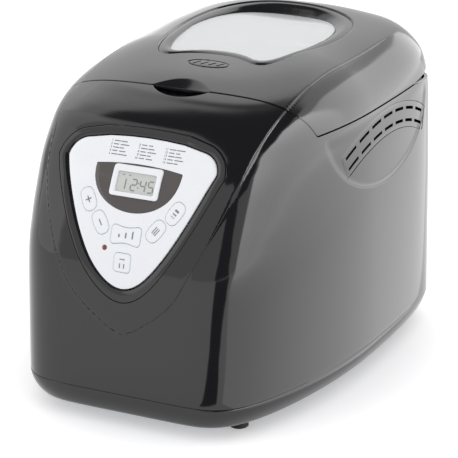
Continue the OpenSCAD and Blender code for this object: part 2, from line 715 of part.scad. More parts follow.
module roof_layer(outside, inside) {
    n = len(columns);
    rows = 8;
    low = 9.2;
    top = last_section * 0.97;
    outer = [for (j = [0:rows], i = [0:n - 1])
        skin(low + (top - low) * j / rows, columns[i], outside)];
    inner = [for (j = [0:rows], i = [0:n - 1])
        skin(low + (top - low) * j / rows, columns[i], inside)];
    k = n * (rows + 1);
    sides = [for (j = [0:rows - 1], i = [0:n - 1])
        let (a = j * n + i, b = j * n + (i + 1) % n)
        each [[a, b + n, b], [a, a + n, b + n],
              [k + a, k + b, k + b + n], [k + a, k + b + n, k + a + n]]];
    rim = [for (i = [0:n - 1]) let (a = i, b = (i + 1) % n)
        each [[a, b, k + b], [a, k + b, k + a]]];
    t = 2 * k;
    caps = [for (i = [0:n - 1]) let (a = rows * n + i, b = rows * n + (i + 1) % n)
        each [[t, b, a], [t + 1, k + a, k + b]]];
    polyhedron(concat(outer, inner, [skin(last_section, 0, outside), skin(last_section, 0, inside)]),
        concat(sides, rim, caps), convexity = 4);
}
module window_outer() {
    color("#dfe3e6", 0.5) intersection() {
        roof_layer(wall + 0.1, wall + 2.2);
        window_prism(4.5);
    }
}
module window_frame() {
    color("#1d1e20") intersection() {
        roof_layer(wall + 2.2, wall + 5);
        difference() {
            window_prism(9);
            window_prism(-1);
        }
    }
}
module steam_vent() {
    color("#55565a") difference() {
        intersection() {
            roof_layer(-0.4, wall);
            translate([0, 0, lid_line_z]) linear_extrude(big) steam_vent_shape(0);
        }
        for (i = [-1.5:1:1.5]) translate([i * 7, vent_slot_z, lid_line_z]) rotate(-24)
            translate([-0.9, -3.4, 0]) cube([1.8, 6.8, big]);
    }
}
module lid_liner() {
    front = lid_front_y + 21;
    top = lid_cross_z - 1.4;
    color("#46474a") difference() {
        intersection() {
            translate([-big / 2, 0, 0]) across() linear_extrude(big) polygon([
                [lid_front_y + lid_gap + 0.6, top - 1], [lid_front_y + 11, top - 1],
                [front, liner_z], [hinge_y - 9, liner_z],
                [hinge_y - 9, liner_z + liner_t], [front + 1.6, liner_z + liner_t],
                [lid_front_y + 12.8, top + 1.5], [lid_front_y + lid_gap + 0.6, top + 1.5]]);
            body_volume(wall + 1.6);
        }
        translate([0, 0, 0]) linear_extrude(big) window_outline(-3);
    }
}
module window_inner() {
    color("#cfd6da", 0.4) translate([0, 0, liner_z + liner_t]) linear_extrude(2.5)
        window_outline(4);
}
module lid_seal() {
    color("#9b2f26") translate([0, oven_y, deck_z + deck_t + sheet + gap]) difference() {
        rounded_box(oven_w + 12, oven_len + 8, liner_z - deck_z - deck_t - sheet - gap, 34);
        translate([0, 0, -1]) rounded_box(oven_w + 4, oven_len, 30, 30);
    }
}
hinge_x = 60;
knuckle_r = 3.8;
module hinge_brackets() {
    color("#9b9da0") for (x = [-1, 1], e = [-1, 1])
        translate([x * hinge_x + e * 15 - 4.5, 0, 0]) difference() {
            hull() {
                translate([0, hinge_y, hinge_z]) rotate([0, 90, 0])
                    cylinder(r = knuckle_r, h = 9, $fn = 32);
                translate([0, hinge_y - 17, deck_z + deck_t]) cube([9, 8, 2]);
            }
            translate([-1, hinge_y, hinge_z]) rotate([0, 90, 0]) cylinder(r = hinge_pin_r, h = 11);
        }
}
module hinge_pins() {
    color("#c9cbce") for (x = [-1, 1]) translate([x * hinge_x - 21, hinge_y, hinge_z])
        rotate([0, 90, 0]) cylinder(r = hinge_pin_r, h = 42);
}
module lid_hinge_arms() {
    color("#46474a") for (x = [-1, 1]) translate([x * hinge_x - 10, 0, 0]) difference() {
        hull() {
            translate([0, hinge_y, hinge_z]) rotate([0, 90, 0])
                cylinder(r = knuckle_r, h = 20, $fn = 32);
            translate([0, hinge_y - 9, liner_z]) cube([20, 4, liner_t - 0.6]);
        }
        translate([-1, hinge_y, hinge_z]) rotate([0, 90, 0]) cylinder(r = hinge_pin_r + fit, h = 22);
    }
}

module control_bezel() {
    color("#1d1e20") intersection() {
        panel_layer(0.2, wall + 2.5);
        difference() {
            panel_prism() shield(9);
            panel_prism() shield(gap / 2);
        }
    }
}
module control_fascia() {
    color("#eef1f4") difference() {
        intersection() {
            panel_layer(wall - 0.5, wall + 1.5);
            panel_prism() shield(0);
        }
        panel_prism() dee(0.1);
        panel_prism() translate([0, lcd_y]) rounded(lcd_w + 0.4, lcd_h + 0.4, 2.7);
        for (i = [0:5]) panel_prism() key_shape(i, key_gap);
        panel_prism() translate([-17.6, -12]) circle(1.7, $fn = 20);
    }
}
module display_surround() {
    color("#3b3533") intersection() {
        panel_layer(wall - 0.5, wall + 1.5);
        difference() {
            panel_prism() dee(0);
            panel_prism() translate([0, lcd_y]) rounded(lcd_w + 0.2, lcd_h + 0.2, 2.6);
        }
    }
}
module lcd_frame() {
    color("#f2f4f5") intersection() {
        panel_layer(wall - 1.3, wall + 1.5);
        panel_prism() difference() {
            translate([0, lcd_y]) rounded(lcd_w, lcd_h, 2.5);
            translate([0, lcd_y - 1]) rounded(lcd_w - 9, lcd_h - 9, 1);
        }
    }
}
module lcd_screen() {
    color("#b9c0b8") intersection() {
        panel_layer(wall - 0.4, wall + 1.5);
        panel_prism() translate([0, lcd_y - 1]) rounded(lcd_w - 9.2, lcd_h - 9.2, 0.9);
    }
}
module key(i) {
    color("#eef1f4") intersection() {
        panel_layer(wall - 0.9, wall + 2.4);
        panel_prism() key_shape(i);
    }
}
module status_led() {
    color("#a4161a") intersection() {
        panel_layer(wall - 0.9, wall + 1.5);
        panel_prism() translate([-17.6, -12]) circle(1.6, $fn = 20);
    }
}
board_z = -24;
module control_board() {
    color("#2f6b45") on_panel() {
        translate([-50, -30, board_z - 1.6]) cube([100, 84, 1.6]);
        translate([-22, 30, board_z]) cube([44, 24, 5]);
        for (x = [-30, 0, 30]) translate([x - 6, -24, board_z - 9.6]) cube([12, 14, 8]);
    }
}
module board_posts() {
    color("#57585c") on_panel() for (x = [-44, 44], y = [-4, 46])
        translate([x, y, board_z]) cylinder(r = 2.5, h = y > 0 ? 9 : 17, $fn = 24);
}
module side_vent(s) {
    color("#55565a") mirror([s > 0 ? 0 : 1, 0, 0]) intersection() {
        side_layer(0.4, wall);
        translate([half_w - 20, 0, 0]) across() linear_extrude(60) difference() {
            vent_band_shape();
            for (row = [-1, 1], i = [0:vent_slots - 1]) translate([vent_y, vent_z])
                rotate(21 - 42 * i / (vent_slots - 1)) translate([0, vent_arc_r + row * 5.4])
                    square([row > 0 ? 17 : 15, 2.6], center = true);
        }
    }
}

base_ring();
feet();
base_plate();
base_screws();
deck_posts();
housing();
cord_gland();
finger_pocket();
deck();
oven_chamber();
heating_element();
element_clips();
temperature_sensor();
pan_socket();
bearing_block();
shaft_bush();
drive_shaft();
drive_coupler();
large_pulley();
small_pulley();
drive_belt();
motor_shaft();
motor_fan();
motor();
motor_bracket();
capacitor();
pan();
pan_foot();
pan_bush();
pan_spindle();
spindle_wing();
kneading_paddle();
pan_handle();
lid_shell();
window_outer();
window_frame();
steam_vent();
lid_liner();
window_inner();
lid_seal();
hinge_brackets();
hinge_pins();
lid_hinge_arms();
control_bezel();
control_fascia();
display_surround();
lcd_frame();
lcd_screen();
key(0);  // key_plus
key(1);  // key_minus
key(2);  // key_size
key(3);  // key_menu
key(4);  // key_shade
key(5);  // key_start
status_led();
control_board();
board_posts();
side_vent(-1);  // side_vent_left
side_vent(1);  // side_vent_right
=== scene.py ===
"""Bread machine: glossy moulded shells, a sloping control panel and the oven inside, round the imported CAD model."""

from math import atan2, copysign, cos, degrees, dist, hypot, pi, radians, sin, sqrt

import bmesh
import bpy
from mathutils import Matrix, Vector
from mathutils.bvhtree import BVHTree


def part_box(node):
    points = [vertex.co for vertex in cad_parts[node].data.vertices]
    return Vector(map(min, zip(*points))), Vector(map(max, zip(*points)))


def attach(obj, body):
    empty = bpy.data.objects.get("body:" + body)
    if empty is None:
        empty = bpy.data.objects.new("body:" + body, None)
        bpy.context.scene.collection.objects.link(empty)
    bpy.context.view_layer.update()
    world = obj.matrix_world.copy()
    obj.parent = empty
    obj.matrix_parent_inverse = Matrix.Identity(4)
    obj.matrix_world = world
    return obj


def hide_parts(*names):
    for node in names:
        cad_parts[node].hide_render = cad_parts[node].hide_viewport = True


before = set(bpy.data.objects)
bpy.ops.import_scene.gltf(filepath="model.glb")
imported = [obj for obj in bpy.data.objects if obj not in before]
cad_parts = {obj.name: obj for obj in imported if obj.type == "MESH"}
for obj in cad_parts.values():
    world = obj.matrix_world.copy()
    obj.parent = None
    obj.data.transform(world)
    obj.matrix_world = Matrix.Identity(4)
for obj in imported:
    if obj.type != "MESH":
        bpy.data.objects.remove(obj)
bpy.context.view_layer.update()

MM = 0.001
# Heights below are measured with the base's top edge at 25 mm; a piece is lifted to where the base really ends
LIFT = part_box("base_ring")[1][2] / MM - 25

# ---------------------------------------------------------------- materials

def hex_colour(code):
    """An sRGB hex value as the linear colour that a shader takes."""
    parts = [int(code[i:i + 2], 16) / 255 for i in (1, 3, 5)]
    return [c / 12.92 if c <= 0.04045 else ((c + 0.055) / 1.055) ** 2.4 for c in parts] + [1.0]


def add_node(tree, kind, settings=None, links=None):
    """A node with its plain settings and socket values, and links given as socket: (node, output)."""
    made = tree.nodes.new("ShaderNode" + kind)
    for key, value in (settings or {}).items():
        if isinstance(key, int) or key in made.inputs:
            made.inputs[key].default_value = value
        else:
            setattr(made, key, value)
    for key, (source, output) in (links or {}).items():
        tree.links.new(source.outputs[output], made.inputs[key])
    return made


def finish(name, colour, roughness, grain, mottle=0, bump=0, bump_mm=0.1, rough_change=0, stretch=(1, 1, 1), **shader):
    """A surface finish. grain is its pattern's size in millimetres, mottle how far the colour varies with the
    pattern, bump the strength of its relief of bump_mm, and rough_change how far the polish varies."""
    made = bpy.data.materials.new(name)
    made.use_nodes = True
    tree = made.node_tree
    surface = tree.nodes["Principled BSDF"]
    base = hex_colour(colour)
    surface.inputs["Base Color"].default_value = base
    surface.inputs["Roughness"].default_value = roughness
    for key, value in shader.items():
        surface.inputs[key.replace("_", " ")].default_value = value
    place = add_node(tree, "TexCoord")
    turned = add_node(tree, "Mapping", {"Scale": stretch}, {"Vector": (place, "Object")})
    noise = add_node(tree, "TexNoise", {"Scale": 1 / (grain * MM), "Detail": 4.0, "Roughness": 0.6},
        {"Vector": (turned, "Vector")})
    if mottle:
        shade = add_node(tree, "Mix", {"data_type": "RGBA"}, {"Factor": (noise, "Fac")})
        for socket, change in ((6, 1 - mottle), (7, 1 + mottle)):
            shade.inputs[socket].default_value = [min(1, c * change) for c in base[:3]] + [1]
        tree.links.new(shade.outputs[2], surface.inputs["Base Color"])
    if rough_change:
        polish = add_node(tree, "MapRange", {"To Min": roughness - rough_change, "To Max": roughness + rough_change},
            {"Value": (noise, "Fac")})
        tree.links.new(polish.outputs["Result"], surface.inputs["Roughness"])
    if bump:
        relief = add_node(tree, "Bump", {"Strength": bump, "Distance": bump_mm * MM}, {"Height": (noise, "Fac")})
        tree.links.new(relief.outputs["Normal"], surface.inputs["Normal"])
    return made


# Name, colour and roughness, then the pattern: grain, mottle, bump, bump_mm, rough_change

# Injection-moulded ABS, mirror-polished tool: a deep even gloss with the faint long waviness of a moulded wall
GLOSS_SHELL = finish("abs_gloss_black", "#1D1D1F", 0.09, 38, 0, 0.25, 0.05, 0.02, IOR=1.52)
GLOSS_LID = finish("abs_gloss_black_lid", "#1F1F21", 0.13, 34, 0, 0.2, 0.05, 0.02, IOR=1.52)
# The same plastic round the base, from a duller tool
BASE_PLASTIC = finish("abs_gloss_base", "#1D1D1F", 0.12, 30, 0, 0.2, 0.05, 0.02, IOR=1.52)
# Near-black bead along the hood's fine crease in front: painted shade, darker than the same plastic around it
CREASE_SHADE_BLACK = finish("painted_crease_shade", "#0B0B0C", 0.5, 2, 0.05)
# White ABS fascia under a hard clear coat
FASCIA_WHITE = finish("abs_white_coated", "#EFF1F5", 0.24, 9, 0.012, 0.08, 0.04, 0.03, IOR=1.49, Coat_Weight=0.3,
    Coat_Roughness=0.08)
# Silicone rubber keys, and the inks printed on them and on the fascia
KEY_WHITE = finish("silicone_key_white", "#EFF1F5", 0.42, 0.6, 0.02, 0.08, 0.03, 0.04, IOR=1.45)
KEY_LINE = finish("print_pale_teal", "#DDE9EB", 0.5, 0.5, 0.05)
PRINT_GREY = finish("print_grey", "#7A8087", 0.5, 0.4, 0.06)
# Smoked acrylic round the display, then the display's glass and its segments
DISPLAY_BROWN = finish("acrylic_smoked_brown", "#4E4A48", 0.08, 16, 0, 0.1, 0.03, 0.02, IOR=1.49)
LCD_PANE = finish("lcd_glass_grey", "#C9CCC7", 0.16, 5, 0.03, 0, 0.1, 0.02, IOR=1.5)
LCD_INK = finish("lcd_segment_dark", "#7E8682", 0.3, 0.5, 0.05)
# Red polycarbonate lens of the status lamp
LAMP_RED = finish("polycarbonate_red_lens", "#7A2A2C", 0.12, 0.8, 0.08, IOR=1.58)
# ABS again: the vent inserts, and the pocket under the lid's front edge, its black plastic made darker than the shell's
# as painted shade of that recess
VENT_PLASTIC = finish("abs_gloss_vent", "#1D1D1F", 0.1, 22, 0, 0.12, 0.04, 0.02, IOR=1.52)
WELL_PAINTED_SHADE = finish("abs_gloss_well_painted_shade", "#121213", 0.12, 20, 0, 0.1, 0.03, 0.02, IOR=1.52)
# Moulded rubber feet, and textured polypropylene where only the inside is seen
RUBBER_FOOT = finish("rubber_moulded_black", "#1B1B1B", 0.75, 0.9, 0.12, 0.25, 0.06, 0.06)
TEXTURED_BLACK = finish("pp_textured_black", "#1E1E20", 0.5, 0.8, 0.08, 0.3, 0.08, 0.06)
# Metals: plated, aluminised and ground steel, die-cast aluminium, the heater's tube and sintered bronze
ZINC = finish("steel_zinc_plated", "#A8ABAF", 0.34, 6, 0.1, 0.05, 0.03, 0.08, Metallic=1.0)
ALUMINISED = finish("steel_aluminised", "#B7B9BB", 0.36, 2.2, 0.08, 0.08, 0.04, 0.08, Metallic=1.0,
    stretch=(1, 1, 0.15))
CAST_METAL = finish("aluminium_die_cast", "#9C9EA1", 0.5, 1.1, 0.1, 0.2, 0.06, 0.06, Metallic=1.0)
GROUND_STEEL = finish("steel_ground", "#C3C5C8", 0.2, 0.9, 0.05, 0.05, 0.02, 0.05, Metallic=1.0, stretch=(1, 1, 6))
HEATER_TUBE = finish("incoloy_tube_oxidised", "#5E5F60", 0.45, 3, 0.2, 0.05, 0.03, 0.1, Metallic=1.0)
BRONZE_BUSH = finish("bronze_sintered", "#B08A4E", 0.45, 0.7, 0.12, 0.12, 0.04, 0.06, Metallic=1.0)
# Non-stick coating of the pan and paddle, silicone seal, neoprene belt
NON_STICK = finish("ptfe_coating_dark", "#2B2B2E", 0.42, 0.7, 0.16, 0.22, 0.05, 0.07, IOR=1.4)
SILICONE_SEAL = finish("silicone_seal_red", "#8C2A20", 0.55, 2.0, 0.08, 0.08, 0.04, 0.05)
BELT_RUBBER = finish("neoprene_belt", "#191919", 0.7, 0.8, 0.1, 0.2, 0.05)
# Enamelled motor, polypropylene capacitor can, solder mask of the circuit board
MOTOR_ENAMEL = finish("enamel_motor_grey", "#74777B", 0.35, 3, 0.07, 0.08, 0.04, 0.05)
CAN_WHITE = finish("pp_can_white", "#D5D5D2", 0.45, 2, 0.03)
BOARD_GREEN = finish("solder_mask_green", "#23613A", 0.3, 1.4, 0.16, 0.1, 0.05)


def clear_pane(name, tint, transparency, roughness):
    """A thin clear pane: mostly see-through, with its own gloss and a faint tint."""
    made = finish(name, tint, roughness, 24, 0, 0.1, 0.03, 0.01, IOR=1.49)
    made.node_tree.nodes["Principled BSDF"].inputs["Alpha"].default_value = 1 - transparency
    return made


# Clear SAN viewing window, a little hazy from its moulded underside, and the toughened glass under it
WINDOW_CLEAR = clear_pane("san_window_clear", "#E2E5E6", 0.22, 0.06)
GLASS_PANE = clear_pane("glass_toughened", "#CFD8D8", 0.7, 0.04)


# ---------------------------------------------------------------- the body's skin, in millimetres
# Each row, as shares of the rise, the half depth and the half width: height at the front, side and back, front
# and back reach, half width amidships, at the front and at the back, then how square the outline is.
HALF_W, HALF_D, SEAM, RISE = 132, 189, 25, 256
SECTIONS = [
    (0.000, 0.000, 0.000, -1.000, 1.000, 1.000, 0.745, 0.917, 8),
    (0.195, 0.195, 0.195, -0.997, 0.997, 0.996, 0.745, 0.913, 8),
    (0.390, 0.410, 0.410, -0.987, 0.995, 0.989, 0.745, 0.909, 8),
    (0.488, 0.547, 0.547, -0.952, 0.992, 0.981, 0.745, 0.905, 8),
    (0.574, 0.645, 0.645, -0.905, 0.989, 0.974, 0.745, 0.902, 8),
    (0.664, 0.715, 0.730, -0.847, 0.987, 0.966, 0.747, 0.898, 8),
    (0.734, 0.770, 0.800, -0.786, 0.981, 0.951, 0.748, 0.890, 7.5),
    (0.793, 0.824, 0.863, -0.730, 0.971, 0.920, 0.745, 0.879, 6.5),
    (0.832, 0.863, 0.910, -0.651, 0.947, 0.875, 0.736, 0.848, 5.5),
    (0.866, 0.895, 0.945, -0.534, 0.910, 0.814, 0.697, 0.803, 4.8),
    (0.887, 0.918, 0.965, -0.450, 0.862, 0.742, 0.636, 0.750, 4.2),
    (0.916, 0.943, 0.988, -0.312, 0.783, 0.606, 0.515, 0.606, 3.2),
    (0.936, 0.959, 0.998, -0.164, 0.683, 0.424, 0.364, 0.424, 2.6),
    (0.955, 0.971, 1.000, 0.048, 0.556, 0.212, 0.189, 0.212, 2.2),
    (0.978, 0.978, 0.978, 0.300, 0.302, 0.001, 0.001, 0.001, 2)]
LAST = len(SECTIONS) - 1
# Middle of the loft, as a share of the half depth
MIDDLE = 0.09
# The lid line: its depth across the front, its height along the sides, and the height and depth of its front corners
LID_FRONT_Y, LID_LINE_Z, LID_CROSS_Z, LID_CORNER_Y = -85, 224, 246, -73
# The gap along it, how far its lower and upper edges part at the rear, and the thickness of the walls
LID_GAP, REAR_DROP, REAR_LIFT, WALL = 1.2, 5, 3.6, 2.5


def clamp(value, low, high):
    return max(low, min(high, value))


def smooth(value):
    value = clamp(value, 0, 1)
    return value * value * (3 - 2 * value)


def section(s):
    """The loft's measures at section s, on a smooth curve through the rows."""
    s = clamp(s, 0, LAST - 0.001)
    i = int(s)
    t = s - i
    before, here, there, after = (SECTIONS[clamp(i + k, 0, LAST)] for k in (-1, 0, 1, 2))
    weights = ((-t ** 3 + 2 * t * t - t) / 2, (3 * t ** 3 - 5 * t * t + 2) / 2, (-3 * t ** 3 + 4 * t * t + t) / 2,
        (t ** 3 - t * t) / 2)
    return [sum(w * row[c] for w, row in zip(weights, (before, here, there, after))) for c in range(9)]


def skin(s, angle, inset=0.0):
    """A point of the skin at section s and column angle (degrees, 0 at the front), set in by inset."""
    z_front, z_side, z_back, y_front, y_back, mid_w, front_w, back_w, square = section(s)
    sine, cosine = sin(radians(angle)), cos(radians(angle))
    k = (abs(sine) ** square + abs(cosine) ** square) ** (-1 / square)
    across, along = sine * k, -cosine * k
    roof = radians(90 * clamp((s - 6.5) / 4, 0, 1))
    side_in = inset * cos(roof)
    front, back = y_front * HALF_D + side_in, y_back * HALF_D - side_in
    centre = MIDDLE * HALF_D if y_front < -0.01 else (front + back) / 2
    end_w, end_z = (front_w, z_front) if along < 0 else (back_w, z_back)
    width = (mid_w - (mid_w - end_w) * along * along) * HALF_W - side_in
    height = SEAM + (z_side + (end_z - z_side) * along * along) * RISE - inset * sin(roof)
    return Vector((across * width, centre + along * (centre - front if along < 0 else back - centre), height))


def skin_normal(s, angle):
    """The skin's outward direction there."""
    step = 0.02
    around = skin(s, angle + 0.3) - skin(s, angle - 0.3)
    up = skin(min(s + step, LAST - 0.01), angle) - skin(max(s - step, 0), angle)
    return around.cross(up).normalized()


def line_height(y, shift):
    """Height of the lid line at depth y; a positive shift is the lid's side of the gap."""
    rear = clamp((y - HALF_D * 0.6) / (HALF_D * 0.3), 0, 1)
    if y < LID_FRONT_Y + shift:
        return 1000
    if y < LID_CORNER_Y:
        return LID_LINE_Z + shift + (LID_CROSS_Z - LID_LINE_Z) * (LID_CORNER_Y - y) / (LID_CORNER_Y - LID_FRONT_Y)
    return LID_LINE_Z + shift + rear * (REAR_LIFT if shift > 0 else -REAR_DROP)


def halve(beyond, low, high, rounds):
    """Closes in on where the test beyond turns true between low and high."""
    for _ in range(rounds):
        mid = (low + high) / 2
        if beyond(mid):
            high = mid
        else:
            low = mid
    return low, high


def line_section(angle, shift):
    """The section at which a column meets the lid line."""
    def above(s):
        point = skin(s, angle)
        return point.z > line_height(point.y, shift)

    return sum(halve(above, 0.0, 12.0, 16)) / 2


def column_angles(per_quadrant, power=1.5):
    """Column angles round the body, close together at its four corners."""
    angles = []
    for quadrant in range(4):
        for i in range(per_quadrant):
            v = 2 * i / per_quadrant - 1
            angles.append(90 * quadrant + 45 + 45 * copysign(abs(v) ** power, v))
    return angles


# The raised hood round the panel: half width of its edge at each height up the front, then at each depth along the lid
HOOD_FRONT = [(76.5, 0), (80, 10), (84, 16), (88, 21.5), (93, 29), (99, 35.5), (105, 42), (112, 47.5), (119, 52),
    (127, 56), (135, 60), (143, 64), (151, 67.5), (158, 70.7), (166, 74), (174, 77), (182, 80), (190, 82.7), (198, 85),
    (206, 87), (214, 88.8), (222, 90.6), (230, 92.2), (238, 93.3), (247, 94)]
HOOD_LID = [(-87, 94), (-58, 94.5), (-28, 95.5), (6, 96.5), (42, 97.3), (71, 97.8), (150, 98)]
# Lowest point of the hood in front and on the lid, how far back it starts to fade and over what length, how far it
# stands out, and the width of its eased edge
HOOD_TIP_Z, HOOD_LID_Z, HOOD_FADE_Y, HOOD_FADE, HOOD_STEP, HOOD_EASE = 74, 236, 70, 60, 0.9, 1.8


def along_table(table, at):
    """A value read from a table of (place, value) rows, straight between them."""
    if at <= table[0][0]:
        return table[0][1]
    for (a, p), (b, q) in zip(table, table[1:]):
        if at <= b:
            return p + (q - p) * (at - a) / (b - a)
    return table[-1][1]


def hood_rise(point):
    """How far the skin stands out inside the hood's edge."""
    if point.y > 0.1 * HALF_D and point.z < LID_LINE_Z:
        return 0.0
    on_lid = point.y >= LID_FRONT_Y - 1
    if point.z < (HOOD_LID_Z if on_lid else HOOD_TIP_Z):
        return 0.0
    if on_lid:
        edge, slope = along_table(HOOD_LID, point.y), 0.01
        fade = 1 - smooth((point.y - HOOD_FADE_Y) / HOOD_FADE)
    else:
        edge, fade = along_table(HOOD_FRONT, point.z), 1.0
        slope = (along_table(HOOD_FRONT, point.z + 2) - along_table(HOOD_FRONT, point.z - 2)) / 4
    inward = (edge - abs(point.x)) / sqrt(1 + slope * slope)
    return HOOD_STEP * fade * smooth((inward + HOOD_EASE / 2) / HOOD_EASE)


# The shallow round dish in each side, which the vent insert sits over: its middle, half length, half height and depth,
# the width of its edge as a share of its size, and the height at which it ends with the length of that blend
DISH_Y, DISH_Z, DISH_LONG, DISH_TALL, DISH_DEPTH = 39, 222, 106, 63, 0.9
DISH_EDGE, DISH_END_Z, DISH_BLEND = 0.07, 223, 14


def dish_fall(point):
    """How far the skin falls back inside the dish, deepest near its edge."""
    if abs(point.x) < 100 or point.z > LID_LINE_Z:
        return 0.0
    reach = sqrt(((point.y - DISH_Y) / DISH_LONG) ** 2 + ((point.z - DISH_Z) / DISH_TALL) ** 2)
    if reach > 1.0:
        return 0.0
    depth = DISH_DEPTH * smooth((1.0 - reach) / DISH_EDGE) * smooth((DISH_END_Z - point.z) / DISH_BLEND)
    return depth * (0.35 + 0.65 * smooth((reach - 0.2) / 0.8))


def shaped(s, angle, inset=0.0):
    """The skin with its hood and dishes."""
    point = skin(s, angle, inset)
    offset = hood_rise(point) - dish_fall(point)
    if offset:
        point = point + skin_normal(s, angle) * offset
    return point


def to_object(name, bm):
    """An object of the mesh, in the scene."""
    mesh = bpy.data.meshes.new(name)
    bm.to_mesh(mesh)
    bm.free()
    made = bpy.data.objects.new(name, mesh)
    bpy.context.scene.collection.objects.link(made)
    return made


def to_metres(bm):
    """Lifts a mesh on to the feet and turns its millimetres into metres."""
    for vert in bm.verts:
        vert.co = (vert.co + Vector((0, 0, LIFT))) * MM


def new_piece(name, bm, material, body, sharp_angle, stands_for=()):
    """A piece with its finish, on its body, that takes the place of the named nodes."""
    to_metres(bm)
    piece = to_object(name, bm)
    mesh = piece.data
    mesh.materials.append(material)
    mesh.shade_smooth()
    mesh.set_sharp_from_angle(angle=radians(sharp_angle))
    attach(piece, body)
    if stands_for:
        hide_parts(*stands_for)
    return piece


def grid_piece(columns, rows, place):
    """A tube of columns round by rows along, whose vertices go where place(column, row) says."""
    bm = bmesh.new()
    bmesh.ops.create_grid(bm, x_segments=columns, y_segments=rows - 1, size=1)
    bm.verts.ensure_lookup_table()
    for index, vert in enumerate(bm.verts):
        row, column = divmod(index, columns + 1)
        vert.co = place(column % columns, row)
    bmesh.ops.remove_doubles(bm, verts=bm.verts, dist=1e-5)
    return bm


def turn_outward(bm):
    """The mesh with its normals outward."""
    bmesh.ops.recalc_face_normals(bm, faces=bm.faces)
    return bm


# ---------------------------------------------------------------- finding the skin, to set pieces on it

def ray_tree():
    """A tree of the whole skin that pieces are projected on to."""
    angles = column_angles(90)
    bm = grid_piece(len(angles), 250, lambda c, r: shaped(r / 249 * 13.0, angles[c]))
    tree = BVHTree.FromBMesh(bm)
    bm.free()
    return tree


SKIN_TREE = ray_tree()
# The panel's plane: its middle, and its directions up the panel and out of it
PANEL_TILT = radians(16)
PANEL_ORIGIN = Vector((0, -176.5, 156.07))
PANEL_UP = Vector((0, sin(PANEL_TILT), cos(PANEL_TILT)))
PANEL_OUT = Vector((0, -cos(PANEL_TILT), sin(PANEL_TILT)))


def panel_point(x, y, out):
    """A point over the panel's plane."""
    return PANEL_ORIGIN + Vector((x, 0, 0)) + PANEL_UP * y + PANEL_OUT * out


def on_panel(x, y, height=0.0):
    """The skin under a point of the panel's plane, raised along the panel's normal."""
    return SKIN_TREE.ray_cast(panel_point(x, y, 60), -PANEL_OUT)[0] + PANEL_OUT * height


def on_roof(x, y, height=0.0):
    """The skin under a point above the lid."""
    return SKIN_TREE.ray_cast(Vector((x, y, 400)), Vector((0, 0, -1)))[0] + Vector((0, 0, height))


def on_side(side, y, z, height=0.0):
    """The skin beside a point out to one side, 1 for the right and -1 for the left."""
    return SKIN_TREE.ray_cast(Vector((side * 300, y, z)), Vector((-side, 0, 0)))[0] + Vector((side * height, 0, 0))


def evenly(points, count):
    """A closed outline as count points at even steps along it."""
    loop = points + [points[0]]
    lengths = [dist(a, b) for a, b in zip(loop, loop[1:])]
    total, out, reached, i = sum(lengths), [], 0.0, 0
    for k in range(count):
        target = total * k / count
        while reached + lengths[i] < target:
            reached += lengths[i]
            i += 1
        t = (target - reached) / lengths[i]
        out.append((loop[i][0] + (loop[i + 1][0] - loop[i][0]) * t, loop[i][1] + (loop[i + 1][1] - loop[i][1]) * t))
    return out


def grown(outline, amount):
    """An outline, anticlockwise, moved outward by amount."""
    out, count = [], len(outline)
    for i, (x, y) in enumerate(outline):
        (ax, ay), (bx, by) = outline[i - 1], outline[(i + 1) % count]
        dx, dy = bx - ax, by - ay
        length = hypot(dx, dy) or 1
        out.append((x + dy / length * amount, y - dx / length * amount))
    return out


def rounded_box(width, height, radius, cx=0.0, cy=0.0, turn=0.0, pinch=0.0, count=96):
    """A rounded rectangle; pinch pulls the middles of its long sides in."""
    points = []
    for qx, qy, start in ((1, -1, -90), (1, 1, 0), (-1, 1, 90), (-1, -1, 180)):
        for step in range(9):
            angle = radians(start + 90 * step / 8)
            points.append((qx * (width / 2 - radius) + radius * cos(angle),
                qy * (height / 2 - radius) + radius * sin(angle)))
    even = evenly(points, count)
    cos_t, sin_t = cos(radians(turn)), sin(radians(turn))
    out = []
    for x, y in even:
        y *= 1 - pinch * cos(pi * x / width) ** 2
        out.append((cx + x * cos_t - y * sin_t, cy + x * sin_t + y * cos_t))
    return out


def pad(outline, centre, place, edge, fill=5, dome=0.0):
    """A closed cushion-shaped plate: edge lists (inset, height) from its underside up to its top face, then the
    face closes to the centre, dome higher there."""
    count = len(outline)
    rings = [[grown(outline, -inset), height] for inset, height in edge]
    top, bottom = rings[-1], rings[0]

    def spot(column, row):
        if row < 2:
            share = (0.0, 0.6)[row]
            (x, y), height = bottom[0][column], bottom[1]
        elif row < 2 + len(rings):
            (x, y), height = rings[row - 2][0][column], rings[row - 2][1]
            share = 1.0
        else:
            share = 1 - (row - 1 - len(rings)) / fill
            (x, y), height = top[0][column], top[1] + dome * (1 - share * share)
        return place(centre[0] + (x - centre[0]) * share, centre[1] + (y - centre[1]) * share, height)

    return turn_outward(grid_piece(count, 2 + len(rings) + fill, spot))


def band(outline_at, path, place):
    """A closed ring whose section runs along path, a list of (grow, height), and back to its start."""
    loops = [(outline_at(grow), height) for grow, height in path]
    count = len(loops[0][0])
    bm = grid_piece(count, len(loops) + 1, lambda c, r: place(*loops[r % len(loops)][0][c], loops[r % len(loops)][1]))
    return turn_outward(bm)


# ---------------------------------------------------------------- outlines on the panel

def shield(grow=0.0, count=200):
    """The fascia: a pointed lower half that widens by a power law, and a crowned top with round corners."""
    half, tip, shoulder, top, radius = 66 + grow, -43 - grow * 1.2, 56, 77 + grow * 0.85, 17 + grow
    right = [(half * (i / 30) ** (1.6 * 0.52), tip + (shoulder - tip) * (i / 30) ** 1.6) for i in range(31)]
    right += [(half - radius + radius * cos(radians(a)), top - 5 - radius + radius * sin(radians(a)))
        for a in range(12, 84, 9)]
    right += [(half * 0.5, top - 1.6), (half * 0.25, top - 0.4)]
    left = [(-x, y) for x, y in reversed(right[1:])]
    return evenly(right + [(0, top)] + left, count)


